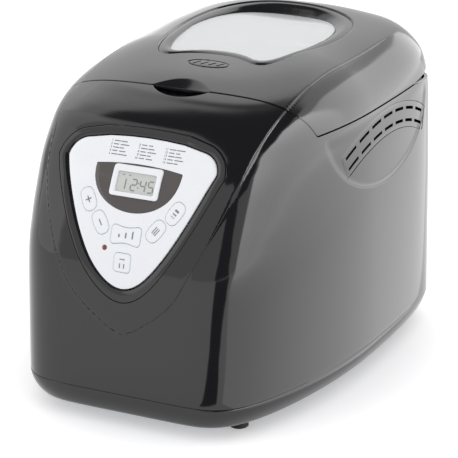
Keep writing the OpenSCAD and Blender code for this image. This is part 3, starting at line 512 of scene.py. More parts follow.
def dee(grow=0.0, count=120):
    """The display surround: a half disc with its arched side up."""
    half, base, depth = 38.5 + grow, 53 + grow, 35.5 + 2 * grow
    arc = [(-half * cos(radians(a)), base - depth * sin(radians(a)) ** 0.85) for a in range(0, 181, 5)]
    crown = [(half * (1 - i / 10), base + 2.9 * (1 - (1 - i / 10) ** 2)) for i in range(1, 20)]
    return evenly(arc + crown, count)


def oval(cx, cy, half_x, half_y, count):
    """An ellipse on the panel or the roof."""
    turns = [2 * pi * i / count for i in range(count)]
    return [(cx + half_x * cos(t), cy + half_y * sin(t)) for t in turns]


def inside(outline, x, y):
    """Whether a point lies in an outline."""
    hit = False
    for (ax, ay), (bx, by) in zip(outline, outline[1:] + outline[:1]):
        if (ay > y) != (by > y) and x < (bx - ax) * (y - ay) / (by - ay) + ax:
            hit = not hit
    return hit


# The side vent's band: the middle and radius of its circle, its width, its half length in degrees, its cut corners
VENT_Y, VENT_Z, VENT_R, VENT_BAND, VENT_SPAN, VENT_CORNER = 47, 8, 201, 22, 25.3, 1.2


def on_vent(radius, turn):
    """A point (y, z) of a side at a radius and turn (radians) of the vent's circle."""
    return (VENT_Y + radius * sin(turn), VENT_Z + radius * cos(turn))


def arch(grow):
    """The side vent's outline in (y, z), its corners cut off."""
    ends, steps = VENT_SPAN + degrees(grow / VENT_R), 28
    turns = [radians(-ends + 2 * ends * i / steps) for i in range(steps + 1)]
    outer, inner = VENT_R + VENT_BAND / 2 + grow, VENT_R - VENT_BAND / 2 - grow
    corners = (outer - VENT_CORNER, inner + VENT_CORNER)
    return ([on_vent(outer, t) for t in turns[1:-1]] + [on_vent(r, turns[-1]) for r in corners]
        + [on_vent(inner, t) for t in reversed(turns[1:-1])] + [on_vent(r, turns[0]) for r in reversed(corners)])


# ---------------------------------------------------------------- housing

def housing_shell():
    """The one-piece shell from the base's joint up to the lid line."""
    angles = column_angles(134, 1.25)
    tops = [line_section(a, 0) for a in angles]
    outer_rows, inner_rows = 150, 6
    rim = [(0.05, 0.0), (0.0, 0.25), (0.0, 1.2), (0.03, WALL)]
    foot = [(0.0, WALL), (0.0, 0.5), (0.0, 0.12)]

    def spot(column, row):
        angle, top = angles[column], tops[column]
        if row < outer_rows:
            return shaped(top * row / outer_rows, angle, 0.12 * (1 - min(row, 2) / 2))
        row -= outer_rows
        if row < len(rim):
            drop, inset = rim[row]
            return shaped(top - drop * 0.05, angle, inset)
        row -= len(rim)
        if row < inner_rows:
            return skin(top * (1 - (row + 1) / inner_rows), angle, WALL + 0.3)
        s, inset = foot[row - inner_rows]
        return skin(s, angle, inset)

    bm = grid_piece(len(angles), outer_rows + len(rim) + inner_rows + len(foot), spot)
    return new_piece("housing_shell", turn_outward(bm), GLOSS_SHELL, "body", 40, ["housing"])


housing = housing_shell()


# ---------------------------------------------------------------- lid

# Height of the window's plane over the middle, and how it climbs toward the back
WINDOW_PLANE = (266.9, 0.0375)
# Half of the window's clear opening from its dented front to its back, then the same for the bevel's outer edge
PANE_EDGE = [(0, -6.5), (10, -7.4), (17, -9.4), (23, -12.2), (28, -15.4), (33, -18.6), (38, -20), (43, -18.6),
    (47, -13.5), (50.5, -4.5), (53.6, 6), (56.6, 18), (59, 31), (61, 44.5), (62.3, 57.5), (61.8, 67.5), (60.6, 77.5),
    (58.3, 87), (55, 95), (50.5, 102.5), (45, 109), (38, 114), (29, 117.3), (18, 119.3), (8, 120), (0, 120.1)]
RIM_EDGE = [(0, -20), (12, -20.8), (22, -23.5), (30, -27), (37, -30.8), (43, -32), (49, -30.5), (53.5, -25),
    (57.5, -17), (60.5, -8), (63.8, 6), (67, 17), (69.7, 29), (72, 42), (73.4, 55), (74, 68), (73.4, 80), (72, 91),
    (70, 101), (66.5, 110), (61, 118), (52, 125), (41, 129.6), (28, 132.4), (14, 133.8), (0, 134.2)]


def whole(half, count):
    """Both sides of a half outline, anticlockwise from its front middle, at even steps."""
    left = [(-x, y) for x, y in reversed(half[1:-1])]
    return evenly([(x, y - 1) for x, y in half + left], count)


def rounded_loop(points, passes=2):
    """An outline with its corners eased."""
    for _ in range(passes):
        points = [tuple((points[i - 1][k] + 2 * points[i][k] + points[(i + 1) % len(points)][k]) / 4 for k in (0, 1))
            for i in range(len(points))]
    return points


def pane_height(y):
    """Height of the window's plane at depth y."""
    return WINDOW_PLANE[0] + WINDOW_PLANE[1] * y


# The lip of the window's opening turns toward this point
ROOF_MIDDLE = (0.0, 57.0)
# Middle, width and depth of the steam vent
STEAM_X, STEAM_Y, STEAM_W, STEAM_H = 2.6, -41, 35.5, 12.5
# Step between its slots, their turn in degrees, their width and their length
STEAM_STEP, STEAM_TURN, STEAM_SLOT = 7.2, -38, (1.5, 7.4)


def steam_fall(point):
    """The lid dips a little under the steam vent."""
    off = hypot((point.x - STEAM_X) / (STEAM_W / 2 + 0.8), (point.y - STEAM_Y) / (STEAM_H / 2 + 0.8))
    return 0.9 * smooth((1.04 - off) / 0.08) if point.z > 240 else 0.0


# Half width of the finger notch, how far back its brow reaches, its rise, and how far forward the pocket comes
WELL_HALF, WELL_BACK, WELL_RISE, WELL_FRONT = 25.5, 15.5, 2.6, 11.4


def scoop_rise(point):
    """The brow over the finger notch, where the lid curls up and back from its front edge."""
    if point.z < 235 or abs(point.x) > WELL_HALF + 6 or point.y > LID_FRONT_Y + WELL_BACK + 12:
        return 0.0
    bow = 1 - (point.x / WELL_HALF) ** 2
    if bow <= 0:
        return 0.0
    depth = point.y - (LID_FRONT_Y + LID_GAP)
    reach = WELL_BACK * bow
    return -WELL_RISE * bow * (1 - smooth(depth / reach)) if depth < reach else 0.0


def lid_cover():
    """The lid's outer shell, from the lid line to the window's bevel, and back along its underside."""
    angles = column_angles(110, 1.25)
    starts = [line_section(a, LID_GAP) for a in angles]
    rim_line = rounded_loop(whole(RIM_EDGE, 320))
    outer_rows, inner_rows = 110, 8
    edge = [(0.05, WALL), (0.0, 1.2), (0.0, 0.3)]

    def in_window(angle):
        return lambda s: inside(rim_line, *skin(s, angle).xy)

    ends = [halve(in_window(a), start, 12.9, 18)[0] for a, start in zip(angles, starts)]
    lip = [(0.5, -0.25), (1.3, -1.1), (1.6, -2.6)]

    def spot(column, row):
        angle, start, end = angles[column], starts[column], ends[column]
        if row < len(edge):
            return shaped(start + edge[row][0] * 0.02, angle, edge[row][1])
        row -= len(edge)
        if row < outer_rows:
            s = start + (end - start) * row / (outer_rows - 1)
            point = shaped(s, angle, 0.1 * (1 - min(row, 2) / 2))
            point.z += scoop_rise(point) - steam_fall(point)
            return point
        row -= outer_rows
        if row < len(lip):
            point = shaped(end, angle)
            toward = Vector((ROOF_MIDDLE[0] - point.x, ROOF_MIDDLE[1] - point.y, 0)).normalized()
            return point + toward * lip[row][0] + Vector((0, 0, lip[row][1]))
        row -= len(lip)
        return skin(end + (start + 0.05 - end) * row / (inner_rows - 1), angle, WALL + 0.4)

    rows = len(edge) + outer_rows + len(lip) + inner_rows
    bm = grid_piece(len(angles), rows + 1, lambda c, r: spot(c, r % rows))
    new_piece("lid_cover", turn_outward(bm), GLOSS_LID, "lid", 40, ["lid_shell"])


lid_cover()


def window_rim():
    """The dark bevel that runs from the lid's opening down to the window."""
    outer, inner = rounded_loop(whole(RIM_EDGE, 320)), rounded_loop(whole(PANE_EDGE, 320))
    # How far in from the outer edge, and how high over the straight slope
    rings = [(0.0, -0.55), (0.03, -0.3), (0.12, -0.1), (0.3, 1.0), (0.55, 1.25), (0.8, 0.8), (0.95, 0.3), (1.0, -0.2),
        (1.0, -2.6), (0.5, -3.4), (0.04, -3.0)]

    def spot(column, row):
        share, rise = rings[row % len(rings)]
        (ox, oy), (ix, iy) = outer[column], inner[column]
        along = share + LID_GAP / hypot(ox - ix, oy - iy) * (1 - share)
        edge_height = on_roof(ox, oy).z - 0.6
        height = edge_height + (pane_height(iy) - edge_height) * smooth(share * 0.92 + 0.04) + rise
        return Vector((ox + (ix - ox) * along, oy + (iy - oy) * along, height))

    bm = grid_piece(len(outer), len(rings) + 1, spot)
    new_piece("window_rim", turn_outward(bm), GLOSS_LID, "lid", 50, ["window_frame"])


window_rim()


def window_pane():
    """The slightly domed clear window."""
    outline = rounded_loop(whole(PANE_EDGE, 200))
    bm = pad(grown(outline, 0.8), (0, 52), lambda x, y, h: Vector((x, y, pane_height(y) + h)),
        [(0, -2.4), (0, -0.9), (0.5, -0.35), (1.6, -0.1)], fill=14, dome=1.1)
    new_piece("window_pane", bm, WINDOW_CLEAR, "lid", 50, ["window_outer"])


window_pane()


def steam_grille():
    """An oval insert with four slanted slots cut through its crowned face."""
    outline = oval(STEAM_X, STEAM_Y, STEAM_W / 2, STEAM_H / 2, 96)
    edge = [(0.6, -1.6), (0.1, -1.5), (0, -0.5), (0.15, -0.1), (0.6, 0.08), (1.4, 0.12)]
    bm = pad(outline, (STEAM_X, STEAM_Y), on_roof, edge, fill=10, dome=0.15)
    grille = new_piece("steam_grille", bm, VENT_PLASTIC, "lid", 40, ["steam_vent"])
    cutter = bmesh.new()
    for i in (-1.5, -0.5, 0.5, 1.5):
        slot = bmesh.ops.create_cube(cutter, size=1)["verts"]
        place = Matrix.Translation(Vector((STEAM_X + i * STEAM_STEP, STEAM_Y, 262)))
        turn = Matrix.Rotation(radians(STEAM_TURN), 4, "Z")
        bmesh.ops.transform(cutter, matrix=place @ turn @ Matrix.Diagonal((*STEAM_SLOT, 14, 1)), verts=slot)
    carve(grille, cutter)


def carve(piece, cutter, tidy_angle=40):
    """Cuts a closed bmesh out of a piece."""
    to_metres(turn_outward(cutter))
    tool = to_object(piece.name + "_cut", cutter)
    cut = piece.modifiers.new("cut", "BOOLEAN")
    cut.operation, cut.solver, cut.object = "DIFFERENCE", "EXACT", tool
    bpy.context.view_layer.update()
    done = bpy.data.meshes.new_from_object(piece.evaluated_get(bpy.context.evaluated_depsgraph_get()))
    piece.modifiers.remove(cut)
    piece.data = done
    bpy.data.objects.remove(tool)
    done.set_sharp_from_angle(angle=radians(tidy_angle))


steam_grille()


def slab(points, shift):
    """The solid that a flat outline sweeps when it moves by a vector."""
    bm = bmesh.new()
    face = bm.faces.new([bm.verts.new(point) for point in points])
    moved = bmesh.ops.extrude_face_region(bm, geom=[face], use_keep_orig=True)["geom"]
    bmesh.ops.translate(bm, vec=shift, verts=[v for v in moved if isinstance(v, bmesh.types.BMVert)])
    return bm


def prism(outline, low, high):
    """The solid over an outline on the panel."""
    return slab([panel_point(x, y, low) for x, y in outline], PANEL_OUT * (high - low))


# ---------------------------------------------------------------- openings in the housing, and the finger pocket

def well_rim():
    """The pocket's outline: a bow in front of the lid line and a flatter one behind it."""
    front = [-1 + 2 * i / 48 for i in range(49)]
    back = [1 - 2 * i / 24 for i in range(1, 24)]
    outline = [(WELL_HALF * t, LID_FRONT_Y - WELL_FRONT * (1 - t * t) ** 0.8) for t in front]
    outline += [(WELL_HALF * t, LID_FRONT_Y + 9 * (1 - t * t) ** 0.5) for t in back]
    return rounded_loop(evenly(outline, 140), 3)


def housing_openings():
    """Cuts the housing for the finger pocket, the panel and the two side vents."""
    carve(housing, slab([(x, y, 239.0) for x, y in grown(well_rim(), -0.15)], (0, 0, 30)))
    carve(housing, prism(shield(9.55, 240), -40, 14))
    for side in (1, -1):
        carve(housing, slab([(side * 105, y, z) for y, z in arch(0.4)], (side * 40, 0, 0)))


def finger_well():
    """A dished pocket in the housing's top edge that lets a finger under the lid."""
    rim, fill = well_rim(), 3
    # (grow, height) from the edge of the dish's floor, up to the rim, over it and back along the underside
    ring = [(-4.6, -9.2), (-2.6, -6.6), (-1.2, -3.0), (-0.5, -0.9), (0.0, -0.1), (0.7, -0.5), (0.8, -1.6), (-0.2, -3.6),
        (-2.0, -7.8), (-4.6, -10.6)]

    def spot(column, row):
        share = 1.0
        if row < fill:
            share, (grow, height) = row / fill, ring[0]
        elif row < fill + len(ring):
            grow, height = ring[row - fill]
        else:
            share, (grow, height) = 1 - (row - fill - len(ring) + 1) / fill, ring[-1]
        x, y = grown(rim, grow)[column]
        x, y = x * share, LID_FRONT_Y - 1 + (y - LID_FRONT_Y + 1) * share
        return Vector((x, y, min(on_roof(x, min(y, LID_FRONT_Y)).z, 246.5) + height))

    bm = grid_piece(len(rim), len(ring) + 2 * fill, spot)
    # The pocket's darker black is painted shade of the recess under the lid
    new_piece("finger_well", turn_outward(bm), WELL_PAINTED_SHADE, "body", 50, ["finger_pocket"])


housing_openings()
finger_well()


# ---------------------------------------------------------------- control panel

def panel_bezel():
    """The piano-black frame: a rounded shoulder, a deep groove and the bed of the white face."""
    path = [(9.1, -2.6), (9.1, -0.4), (8.95, -0.12), (8.6, 0.0), (7.4, -0.02), (5.6, -0.12), (4.2, -0.3), (3.2, -0.55),
        (2.4, -0.9), (1.6, -1.4), (1.0, -2.0), (0.6, -2.8), (0.5, -4.0), (3.0, -4.4), (8.0, -4.0)]
    bm = band(lambda g: shield(g, 240), path, on_panel)
    new_piece("panel_bezel", bm, GLOSS_SHELL, "body", 40, ["control_bezel"])


# Place and turn of each key; then width, height, corner radius, pinch and points of the common key and of two others
KEY_AT = {"plus": (-38.6, 23.4, -60), "minus": (-24.4, 6.8, -55), "size": (0, -0.4, 0), "menu": (25.4, 6.5, 55),
    "shade": (39.4, 22.4, 60), "start": (0, -22, 0)}
OBLONG_KEY = (19.3, 10.9, 4.6, -0.12, 72)
OTHER_KEYS = {"size": (26.5, 15.6, 3.2, 0.22, 96), "start": (14.8, 15, 3, 0, 72)}


def key_outline(name):
    width, height, radius, pinch, count = OTHER_KEYS.get(name, OBLONG_KEY)
    return rounded_box(width, height, radius, *KEY_AT[name], pinch=pinch, count=count)


KEYS = {name: key_outline(name) for name in KEY_AT}
# Middle height, width and height of the display; depth of the white face; place of the lamp
LCD_Y, LCD_W, LCD_H = 42, 43.5, 25
FACE_HEIGHT = -0.9
LAMP_X, LAMP_Y = -17.3, -12.3


def panel_face():
    """White fascia with rounded edges; holes for the keys, the lamp and the display."""
    outline = shield(0.0, 240)
    bm = pad(outline, (0, 25), lambda x, y, h: on_panel(x, y, h + FACE_HEIGHT),
        [(0.2, -2.2), (0, -2.0), (0, -0.6), (0.25, -0.2), (0.8, 0)], fill=34)
    face = new_piece("panel_face", bm, FASCIA_WHITE, "body", 40, ["control_fascia"])
    holes = [grown(key, 0.35) for key in KEYS.values()]
    holes += [dee(0.05), oval(LAMP_X, LAMP_Y, 2.15, 2.15, 24),
        rounded_box(LCD_W + 0.3, LCD_H + 0.3, 2.6, 0, LCD_Y, count=64)]
    for hole in holes:
        carve(face, prism(hole, -30, 8), 30)


def flat_plate(name, outline, centre, low, high, material, stands_for, fill, edge=0.3):
    """A plate on the panel from one height to another, with its top edge eased."""
    bm = pad(outline, centre, on_panel, [(0.1, low), (0, low + 0.1), (0, high - edge), (edge * 0.3, high - edge * 0.3),
        (edge, high)], fill=fill)
    return new_piece(name, bm, material, "body", 40, stands_for)


def display_dee():
    """The smoked surround, with its opening for the display."""
    plate = flat_plate("display_dee", dee(-0.1, 160), (0, 40), -3.2, -1.0, DISPLAY_BROWN,
        ["display_surround"], 12)
    carve(plate, prism(rounded_box(LCD_W + 0.2, LCD_H + 0.2, 2.6, 0, LCD_Y, count=64), -30, 4), 30)


def lcd_surround():
    """The white frame of the display: a wider band along its top, as the printed strip needs."""
    outer = rounded_box(LCD_W, LCD_H, 2.5, 0, LCD_Y, count=96)
    inner = rounded_box(LCD_W - 9, LCD_H - 9, 1.2, 0, LCD_Y - 1, count=96)

    def outline_at(share):
        return [(ox + (ix - ox) * share, oy + (iy - oy) * share) for (ox, oy), (ix, iy) in zip(outer, inner)]

    path = [(0.02, -3.0), (0.0, -2.8), (0.0, -0.2), (0.03, 0.15), (0.12, 0.3), (0.85, 0.2), (0.95, 0.05), (1.0, -0.5),
        (1.0, -2.6), (0.9, -3.0)]
    bm = band(outline_at, path, on_panel)
    new_piece("lcd_surround", bm, FASCIA_WHITE, "body", 40, ["lcd_frame"])


def lcd_pane():
    """The display's glass, sunk in its frame."""
    outline = rounded_box(LCD_W - 8.6, LCD_H - 8.6, 1.0, 0, LCD_Y - 1, count=64)
    flat_plate("lcd_pane", outline, (0, LCD_Y - 1), -3.0, -1.5, LCD_PANE, ["lcd_screen"], 8, 0.15)


def stroke_boxes(bm, boxes, height, thick=0.16):
    """Thin raised bars on the panel: each is (cx, cy, length, width, turn)."""
    for cx, cy, length, width, turn in boxes:
        start = len(bm.verts)
        made = bmesh.ops.create_cube(bm, size=1)["verts"]
        long_edges = {e for v in made for e in v.link_edges if abs(e.verts[0].co.x - e.verts[1].co.x) > 0.5}
        bmesh.ops.subdivide_edges(bm, edges=list(long_edges), cuts=3)
        bm.verts.ensure_lookup_table()
        made = bm.verts[start:]
        cos_t, sin_t = cos(radians(turn)), sin(radians(turn))
        for vert in made:
            x, y, z = vert.co.x * length, vert.co.y * width, vert.co.z * thick
            vert.co = on_panel(cx + x * cos_t - y * sin_t, cy + x * sin_t + y * cos_t, height + z)


# Place and turn of each segment, in half widths and half heights of a digit, and the segments that each digit lights
SEGMENTS = {"a": (0, 1, 0), "b": (1, 0.5, 90), "c": (1, -0.5, 90), "d": (0, -1, 0), "e": (-1, -0.5, 90),
    "f": (-1, 0.5, 90), "g": (0, 0, 0)}
DIGITS = {2: "abged", 4: "fgbc", 5: "afgcd"}
# Half width, lean, half height and middle of a digit, then the length and width of its bars
DIGIT_W, DIGIT_LEAN, DIGIT_H, DIGIT_Y, DIGIT_BAR = 2.35, 0.25, 4.4, LCD_Y - 2.6, (3.6, 0.95)


def lcd_digits():
    """Plain seven-segment digits, with a bar for the first, the colon's dots and two marks above."""
    bm = bmesh.new()
    boxes = []
    for digit, cx in ((2, -2.0), (4, 6.0), (5, 13.2)):
        for key in DIGITS[digit]:
            sx, sy, turn = SEGMENTS[key]
            boxes.append((cx + sx * DIGIT_W + sy * DIGIT_LEAN, DIGIT_Y + sy * DIGIT_H, *DIGIT_BAR, turn))
    for x, y, length, width, turn in ((2.1, -0.8, 0.9, 0.9, 0), (2.1, -4.4, 0.9, 0.9, 0), (-9.5, -2.6, 8.2, 0.9, 90),
            (-12.5, 4.6, 2.2, 0.6, 0), (-7, 4.6, 2.2, 0.6, 0)):
        boxes.append((x, LCD_Y + y, length, width, turn))
    stroke_boxes(bm, boxes, -1.45)
    new_piece("lcd_digits", bm, LCD_INK, "body", 30)


def key_cap(name):
    """A dished silicone key with a printed line along its edge."""
    outline = KEYS[name]
    edge = [(0.2, -2.4), (0, -2.2), (0, -0.15), (0.15, 0.15), (0.7, 0.35), (1.6, 0.3)]
    bm = pad(outline, KEY_AT[name][:2], on_panel, [(inset, FACE_HEIGHT + h) for inset, h in edge], fill=6, dome=-0.12)
    new_piece("key_" + name + "_cap", bm, KEY_WHITE, name + "_key", 50, ["key_" + name])
    path = [(-0.62, 0.24), (-0.5, 0.37), (-0.15, 0.3), (0.05, 0.12), (-0.15, -0.1), (-0.6, 0.05)]
    line = band(lambda grow: grown(outline, grow), [(grow, FACE_HEIGHT + h) for grow, h in path], on_panel)
    new_piece("key_" + name + "_line", line, KEY_LINE, name + "_key", 40)


def key_signs():
    """Generic signs: plus, minus, loaf steps, list, shade steps and a start bar."""
    # Bars from the middle of each key, (along, across, length, width, turn), in directions that turn with the key
    signs = {
        "plus": [(0, 0, 5.4, 0.8, 0), (0, 0, 5.4, 0.8, 90)],
        "minus": [(0, 0, 5.4, 0.8, 0)],
        "size": [(-6, -0.8, 2.6, 1.1, 90), (0, 0, 4.2, 1.1, 90), (6, 0.8, 5.8, 1.1, 90)],
        "menu": [(0, -1.7 * k, 6.4, 0.6, 0) for k in (-1, 0, 1)],
        "shade": [(d, 0, 3.8, w, -90) for d, w in ((-3.4, 0.4), (-0.8, 0.9), (2.4, 1.6))],
        "start": [(0, 2.6, 4.6, 0.7, 0), (-1.9, -2.6, 3.6, 0.8, 90), (1.9, -2.6, 3.6, 0.8, 90)]}
    for name, bars in signs.items():
        cx, cy, key_turn = KEY_AT[name]
        c, s = cos(radians(key_turn)), sin(radians(key_turn))
        bm = bmesh.new()
        stroke_boxes(bm, [(cx + u * c - v * s, cy + u * s + v * c, length, width, key_turn + turn)
            for u, v, length, width, turn in bars], FACE_HEIGHT + 0.36)
        new_piece("key_" + name + "_sign", bm, PRINT_GREY, name + "_key", 30)


# Place of the first number, steps to the next column and row, and how far down each column starts
LIST_X, LIST_Y, LIST_COLUMN, LIST_ROW, LIST_DROPS = -29.5, 71.9, 25, 2.65, (0.0, 0.6, 1.0)


def program_list():
    """Numbers 1 to 15 in three columns, each with a plain line beside it."""
    signs = bmesh.new()
    for number in range(1, 16):
        column, row = divmod(number - 1, 5)
        x, y = LIST_X + column * LIST_COLUMN, LIST_Y - row * LIST_ROW - LIST_DROPS[column]
        text = bpy.data.curves.new("number", "FONT")
        text.body, text.size, text.align_x, text.align_y, text.extrude = str(number), 2.5, "RIGHT", "CENTER", 0.08
        holder = bpy.data.objects.new("number", text)
        flat = bpy.data.meshes.new_from_object(holder)
        bpy.data.objects.remove(holder)
        for vert in flat.vertices:
            vert.co = on_panel(x + vert.co.x, y + vert.co.y, FACE_HEIGHT + 0.06 + vert.co.z)
        signs.from_mesh(flat)
        bpy.data.meshes.remove(flat)
        for start, length in ((1.2, 4.6 + number % 2), (7.4, 3.6 + 2 * (number % 3))):
            stroke_boxes(signs, [(x + start + length / 2, y, length, 0.75, 0)], FACE_HEIGHT + 0.06, 0.12)
    new_piece("program_numbers", signs, PRINT_GREY, "body", 30)


def lamp_lens():
    """The domed red lens of the status lamp."""
    edge = [(0.1, -3.2), (0, -3.0), (0, -0.9), (0.12, -0.62), (0.35, -0.5)]
    bm = pad(oval(LAMP_X, LAMP_Y, 2, 2, 40), (LAMP_X, LAMP_Y), on_panel, edge, fill=4, dome=0.25)
    new_piece("lamp_lens", bm, LAMP_RED, "body", 50, ["status_led"])


panel_bezel()
panel_face()
display_dee()
lcd_surround()
lcd_pane()
lcd_digits()
for key in KEYS:
    key_cap(key)
key_signs()
program_list()
lamp_lens()


# ---------------------------------------------------------------- side grilles

SIDES = ((1, "right"), (-1, "left"))
# Slots in a row, and the half span of their middles in degrees; steps from a slot's middle to the grid lines round it
SLOTS, SLOT_SPAN, SLOT_STEPS = 7, 21, (-2.85, -2.6, -0.9, 0.9, 2.6, 2.85)
# Grid lines across the band, from its middle; the two slot rows lie in the fourth and ninth bands
VENT_LINES = [-VENT_BAND / 2, -8.6, -6.8, -6.6, -4.0, -3.8, 0, 3.8, 4.0, 6.6, 6.8, 8.6, VENT_BAND / 2]
SLOT_BANDS = (3, 8)


def side_grille(side, word):
    """An arched insert, its slots left open between the cells of the grid."""
    middles = [-SLOT_SPAN + 2 * SLOT_SPAN * i / (SLOTS - 1) for i in range(SLOTS)]
    columns = [-VENT_SPAN] + [middle + step for middle in middles for step in SLOT_STEPS] + [VENT_SPAN]
    bm = bmesh.new()
    bmesh.ops.create_grid(bm, x_segments=len(columns) - 1, y_segments=len(VENT_LINES) - 1, size=1)
    bm.verts.ensure_lookup_table()
    cells = {vert: divmod(index, len(columns)) for index, vert in enumerate(bm.verts)}
    gone = []
    for face in bm.faces:
        row, column = (min(cells[v][k] for v in face.verts) for k in (0, 1))
        if (column - 1) % len(SLOT_STEPS) in (1, 2, 3) and 0 < column < len(columns) - 1 and row in SLOT_BANDS:
            gone.append(face)
    for vert, (row, column) in cells.items():
        vert.co = Vector((0, *on_vent(VENT_R + VENT_LINES[row], radians(columns[column]))))
    bmesh.ops.delete(bm, geom=gone, context="FACES")
    bmesh.ops.subdivide_edges(bm, edges=[e for e in bm.edges if e.calc_length() > 5], cuts=2, use_grid_fill=True)
    for vert in bm.verts:
        y, z = vert.co.y, vert.co.z
        across = abs(hypot(y - VENT_Y, z - VENT_Z) - VENT_R)
        along = abs(degrees(atan2(y - VENT_Y, z - VENT_Z)))
        at_edge = across > VENT_BAND / 2 - 0.3 or along > VENT_SPAN - 0.1
        vert.co = on_side(side, y, z, -0.35 if at_edge else -0.05)
    turn_outward(bm)
    if max(bm.faces, key=lambda f: f.calc_area()).normal.x * side < 0:
        bmesh.ops.reverse_faces(bm, faces=bm.faces)
    bmesh.ops.solidify(bm, geom=bm.faces, thickness=1.8)
    new_piece("side_grille_" + word, turn_outward(bm), VENT_PLASTIC, "body", 40, ["side_vent_" + word])


for side, word in SIDES:
    side_grille(side, word)


# ---------------------------------------------------------------- raised lines on the skin

def on_front(x, z):
    """The skin behind a point in front."""
    return SKIN_TREE.ray_cast(Vector((x, -400, z)), Vector((0, 1, 0)))[0]


def surface_line(name, places, width, height, material, body):
    """A slim bead lying along points of the skin."""
    path = []
    for place in places:
        hit, normal, _, _ = SKIN_TREE.find_nearest(place)
        path.append((hit, normal if normal.dot(hit - Vector((0, 40, 120))) > 0 else -normal))
    shape = [(-0.5, -0.3), (-0.5, 0.05), (-0.3, 0.7), (0.0, 1.0), (0.3, 0.7), (0.5, 0.05), (0.5, -0.3)]

    def spot(column, row):
        hit, normal = path[row]
        ahead = path[min(row + 1, len(path) - 1)][0] - path[max(row - 1, 0)][0]
        across = ahead.cross(normal).normalized()
        dx, dz = shape[column]
        taper = min(1.0, (min(row, len(path) - 1 - row) + 0.3) / 6)
        return hit + across * dx * width * taper + normal * dz * height * taper

    bm = grid_piece(len(shape), len(path), spot)
    bmesh.ops.holes_fill(bm, edges=[e for e in bm.edges if e.is_boundary], sides=0)
    new_piece(name, turn_outward(bm), material, body, 60)


def hood_lines():
    """The fine edge of the hood: down both sides of the panel to its point, and back along the lid."""
    left = [on_front(-along_table(HOOD_FRONT, z), z) for z in [247 - 170.4 * i / 170 for i in range(171)]]
    right = [Vector((-p.x, p.y, p.z)) for p in reversed(left)]
    # The near-black bead down the front is painted shade for the crease of the hood's step
    surface_line("hood_line", left + right[1:], 0.7, 0.2, CREASE_SHADE_BLACK, "body")
    for side, word in SIDES:
        along = [on_roof(side * along_table(HOOD_LID, y), y) for y in [-82 + 190 * i / 120 for i in range(121)]]
        surface_line("lid_line_" + word, along, 1.0, 0.32, GLOSS_LID, "lid")


def dish_lines():
    """The fine rib that bounds the round dish in each side."""
    for side, word in SIDES:
        turns = [radians(200 + 140 * i / 160) for i in range(161)]
        along = [on_side(side, DISH_Y + DISH_LONG * cos(t), DISH_Z + DISH_TALL * sin(t)) for t in turns]
        surface_line("dish_line_" + word, along, 0.7, 0.17, GLOSS_SHELL, "body")


hood_lines()
dish_lines()


# ---------------------------------------------------------------- base

def base_skirt():
    """The skirt under the joint line, rounding in to the feet, with a flange that the plate sits on."""
    angles = column_angles(110, 1.25)
    profile = [(4.0, 15.4), (4.0, 12.4), (4.1, 11.4), (4.4, 10.3), (5.2, 8.7), (6.4, 7.2), (8.0, 5.8), (9.8, 4.6),
        (12, 3.3), (14.5, 2.1), (17, 1.2), (19.5, 0.55), (22, 0.12), (23.6, 0.0), (24.2, 0.08), (24.55, 0.4),
        (24.6, 0.9), (24.6, 2.4), (20, 3.2), (14, 4.8), (9.2, 7.6), (6, 12), (6, 15.4)]

    def spot(column, row):
        height, inset = profile[row % len(profile)]
        return Vector((*skin(0, angles[column], inset).xy, height))

    bm = grid_piece(len(angles), len(profile) + 1, spot)
    new_piece("base_skirt", turn_outward(bm), BASE_PLASTIC, "body", 40, ["base_ring"])


base_skirt()


# ---------------------------------------------------------------- finishes of the parts inside

for material, nodes in (
        (ZINC, "base_plate base_screws element_clips hinge_brackets motor_bracket small_pulley"),
        (TEXTURED_BLACK, "deck_posts cord_gland deck large_pulley lid_liner lid_hinge_arms board_posts motor_fan"),
        (ALUMINISED, "oven_chamber"), (HEATER_TUBE, "heating_element"),
        (CAST_METAL, "pan_socket bearing_block drive_coupler pan_foot spindle_wing"),
        (GROUND_STEEL, "temperature_sensor drive_shaft motor_shaft pan_spindle pan_handle hinge_pins"),
        (BRONZE_BUSH, "shaft_bush pan_bush"), (BELT_RUBBER, "drive_belt"), (MOTOR_ENAMEL, "motor"),
        (CAN_WHITE, "capacitor"), (NON_STICK, "pan kneading_paddle"), (GLASS_PANE, "window_inner"),
        (SILICONE_SEAL, "lid_seal"), (BOARD_GREEN, "control_board"), (RUBBER_FOOT, "feet")):
    for node in nodes.split():
        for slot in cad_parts[node].material_slots:
            slot.material = material


# ---------------------------------------------------------------- floor, light and camera

def stage_sheet(name, bm, colour, roughness):
    """A sheet of the scene that isn't part of the object, its nodes and its shader."""
    made = to_object(name, bm)
    material = bpy.data.materials.new(name)
    material.use_nodes = True
    made.data.materials.append(material)
    surface = material.node_tree.nodes["Principled BSDF"]
    for socket, value in (("Base Color", colour), ("Roughness", roughness), ("Specular IOR Level", 0),
            ("Emission Color", (1, 1, 1, 1))):
        surface.inputs[socket].default_value = value
    return made, material.node_tree, surface


def gloss_sheet(name, bm, strength, rise=None):
    """A sheet that only shows in the gloss. rise is (axis, from, to, far strength) where its brightness changes."""
    made, tree, surface = stage_sheet(name, bm, (0, 0, 0, 1), 1)
    made.visible_camera = made.visible_diffuse = made.visible_shadow = made.visible_transmission = False
    surface.inputs["Emission Strength"].default_value = strength
    if rise:
        axis, near, far, end = rise
        spot = add_node(tree, "SeparateXYZ", None, {"Vector": (add_node(tree, "TexCoord"), "Object")})
        level = add_node(tree, "MapRange", {"From Min": near, "From Max": far, "To Min": strength, "To Max": end},
            {"Value": (spot, axis)})
        tree.links.new(level.outputs["Result"], surface.inputs["Emission Strength"])


def filled(points):
    """A flat or gently folded sheet over an outline."""
    bm = bmesh.new()
    bmesh.ops.triangulate(bm, faces=[bm.faces.new([bm.verts.new(point) for point in points])])
    return bm


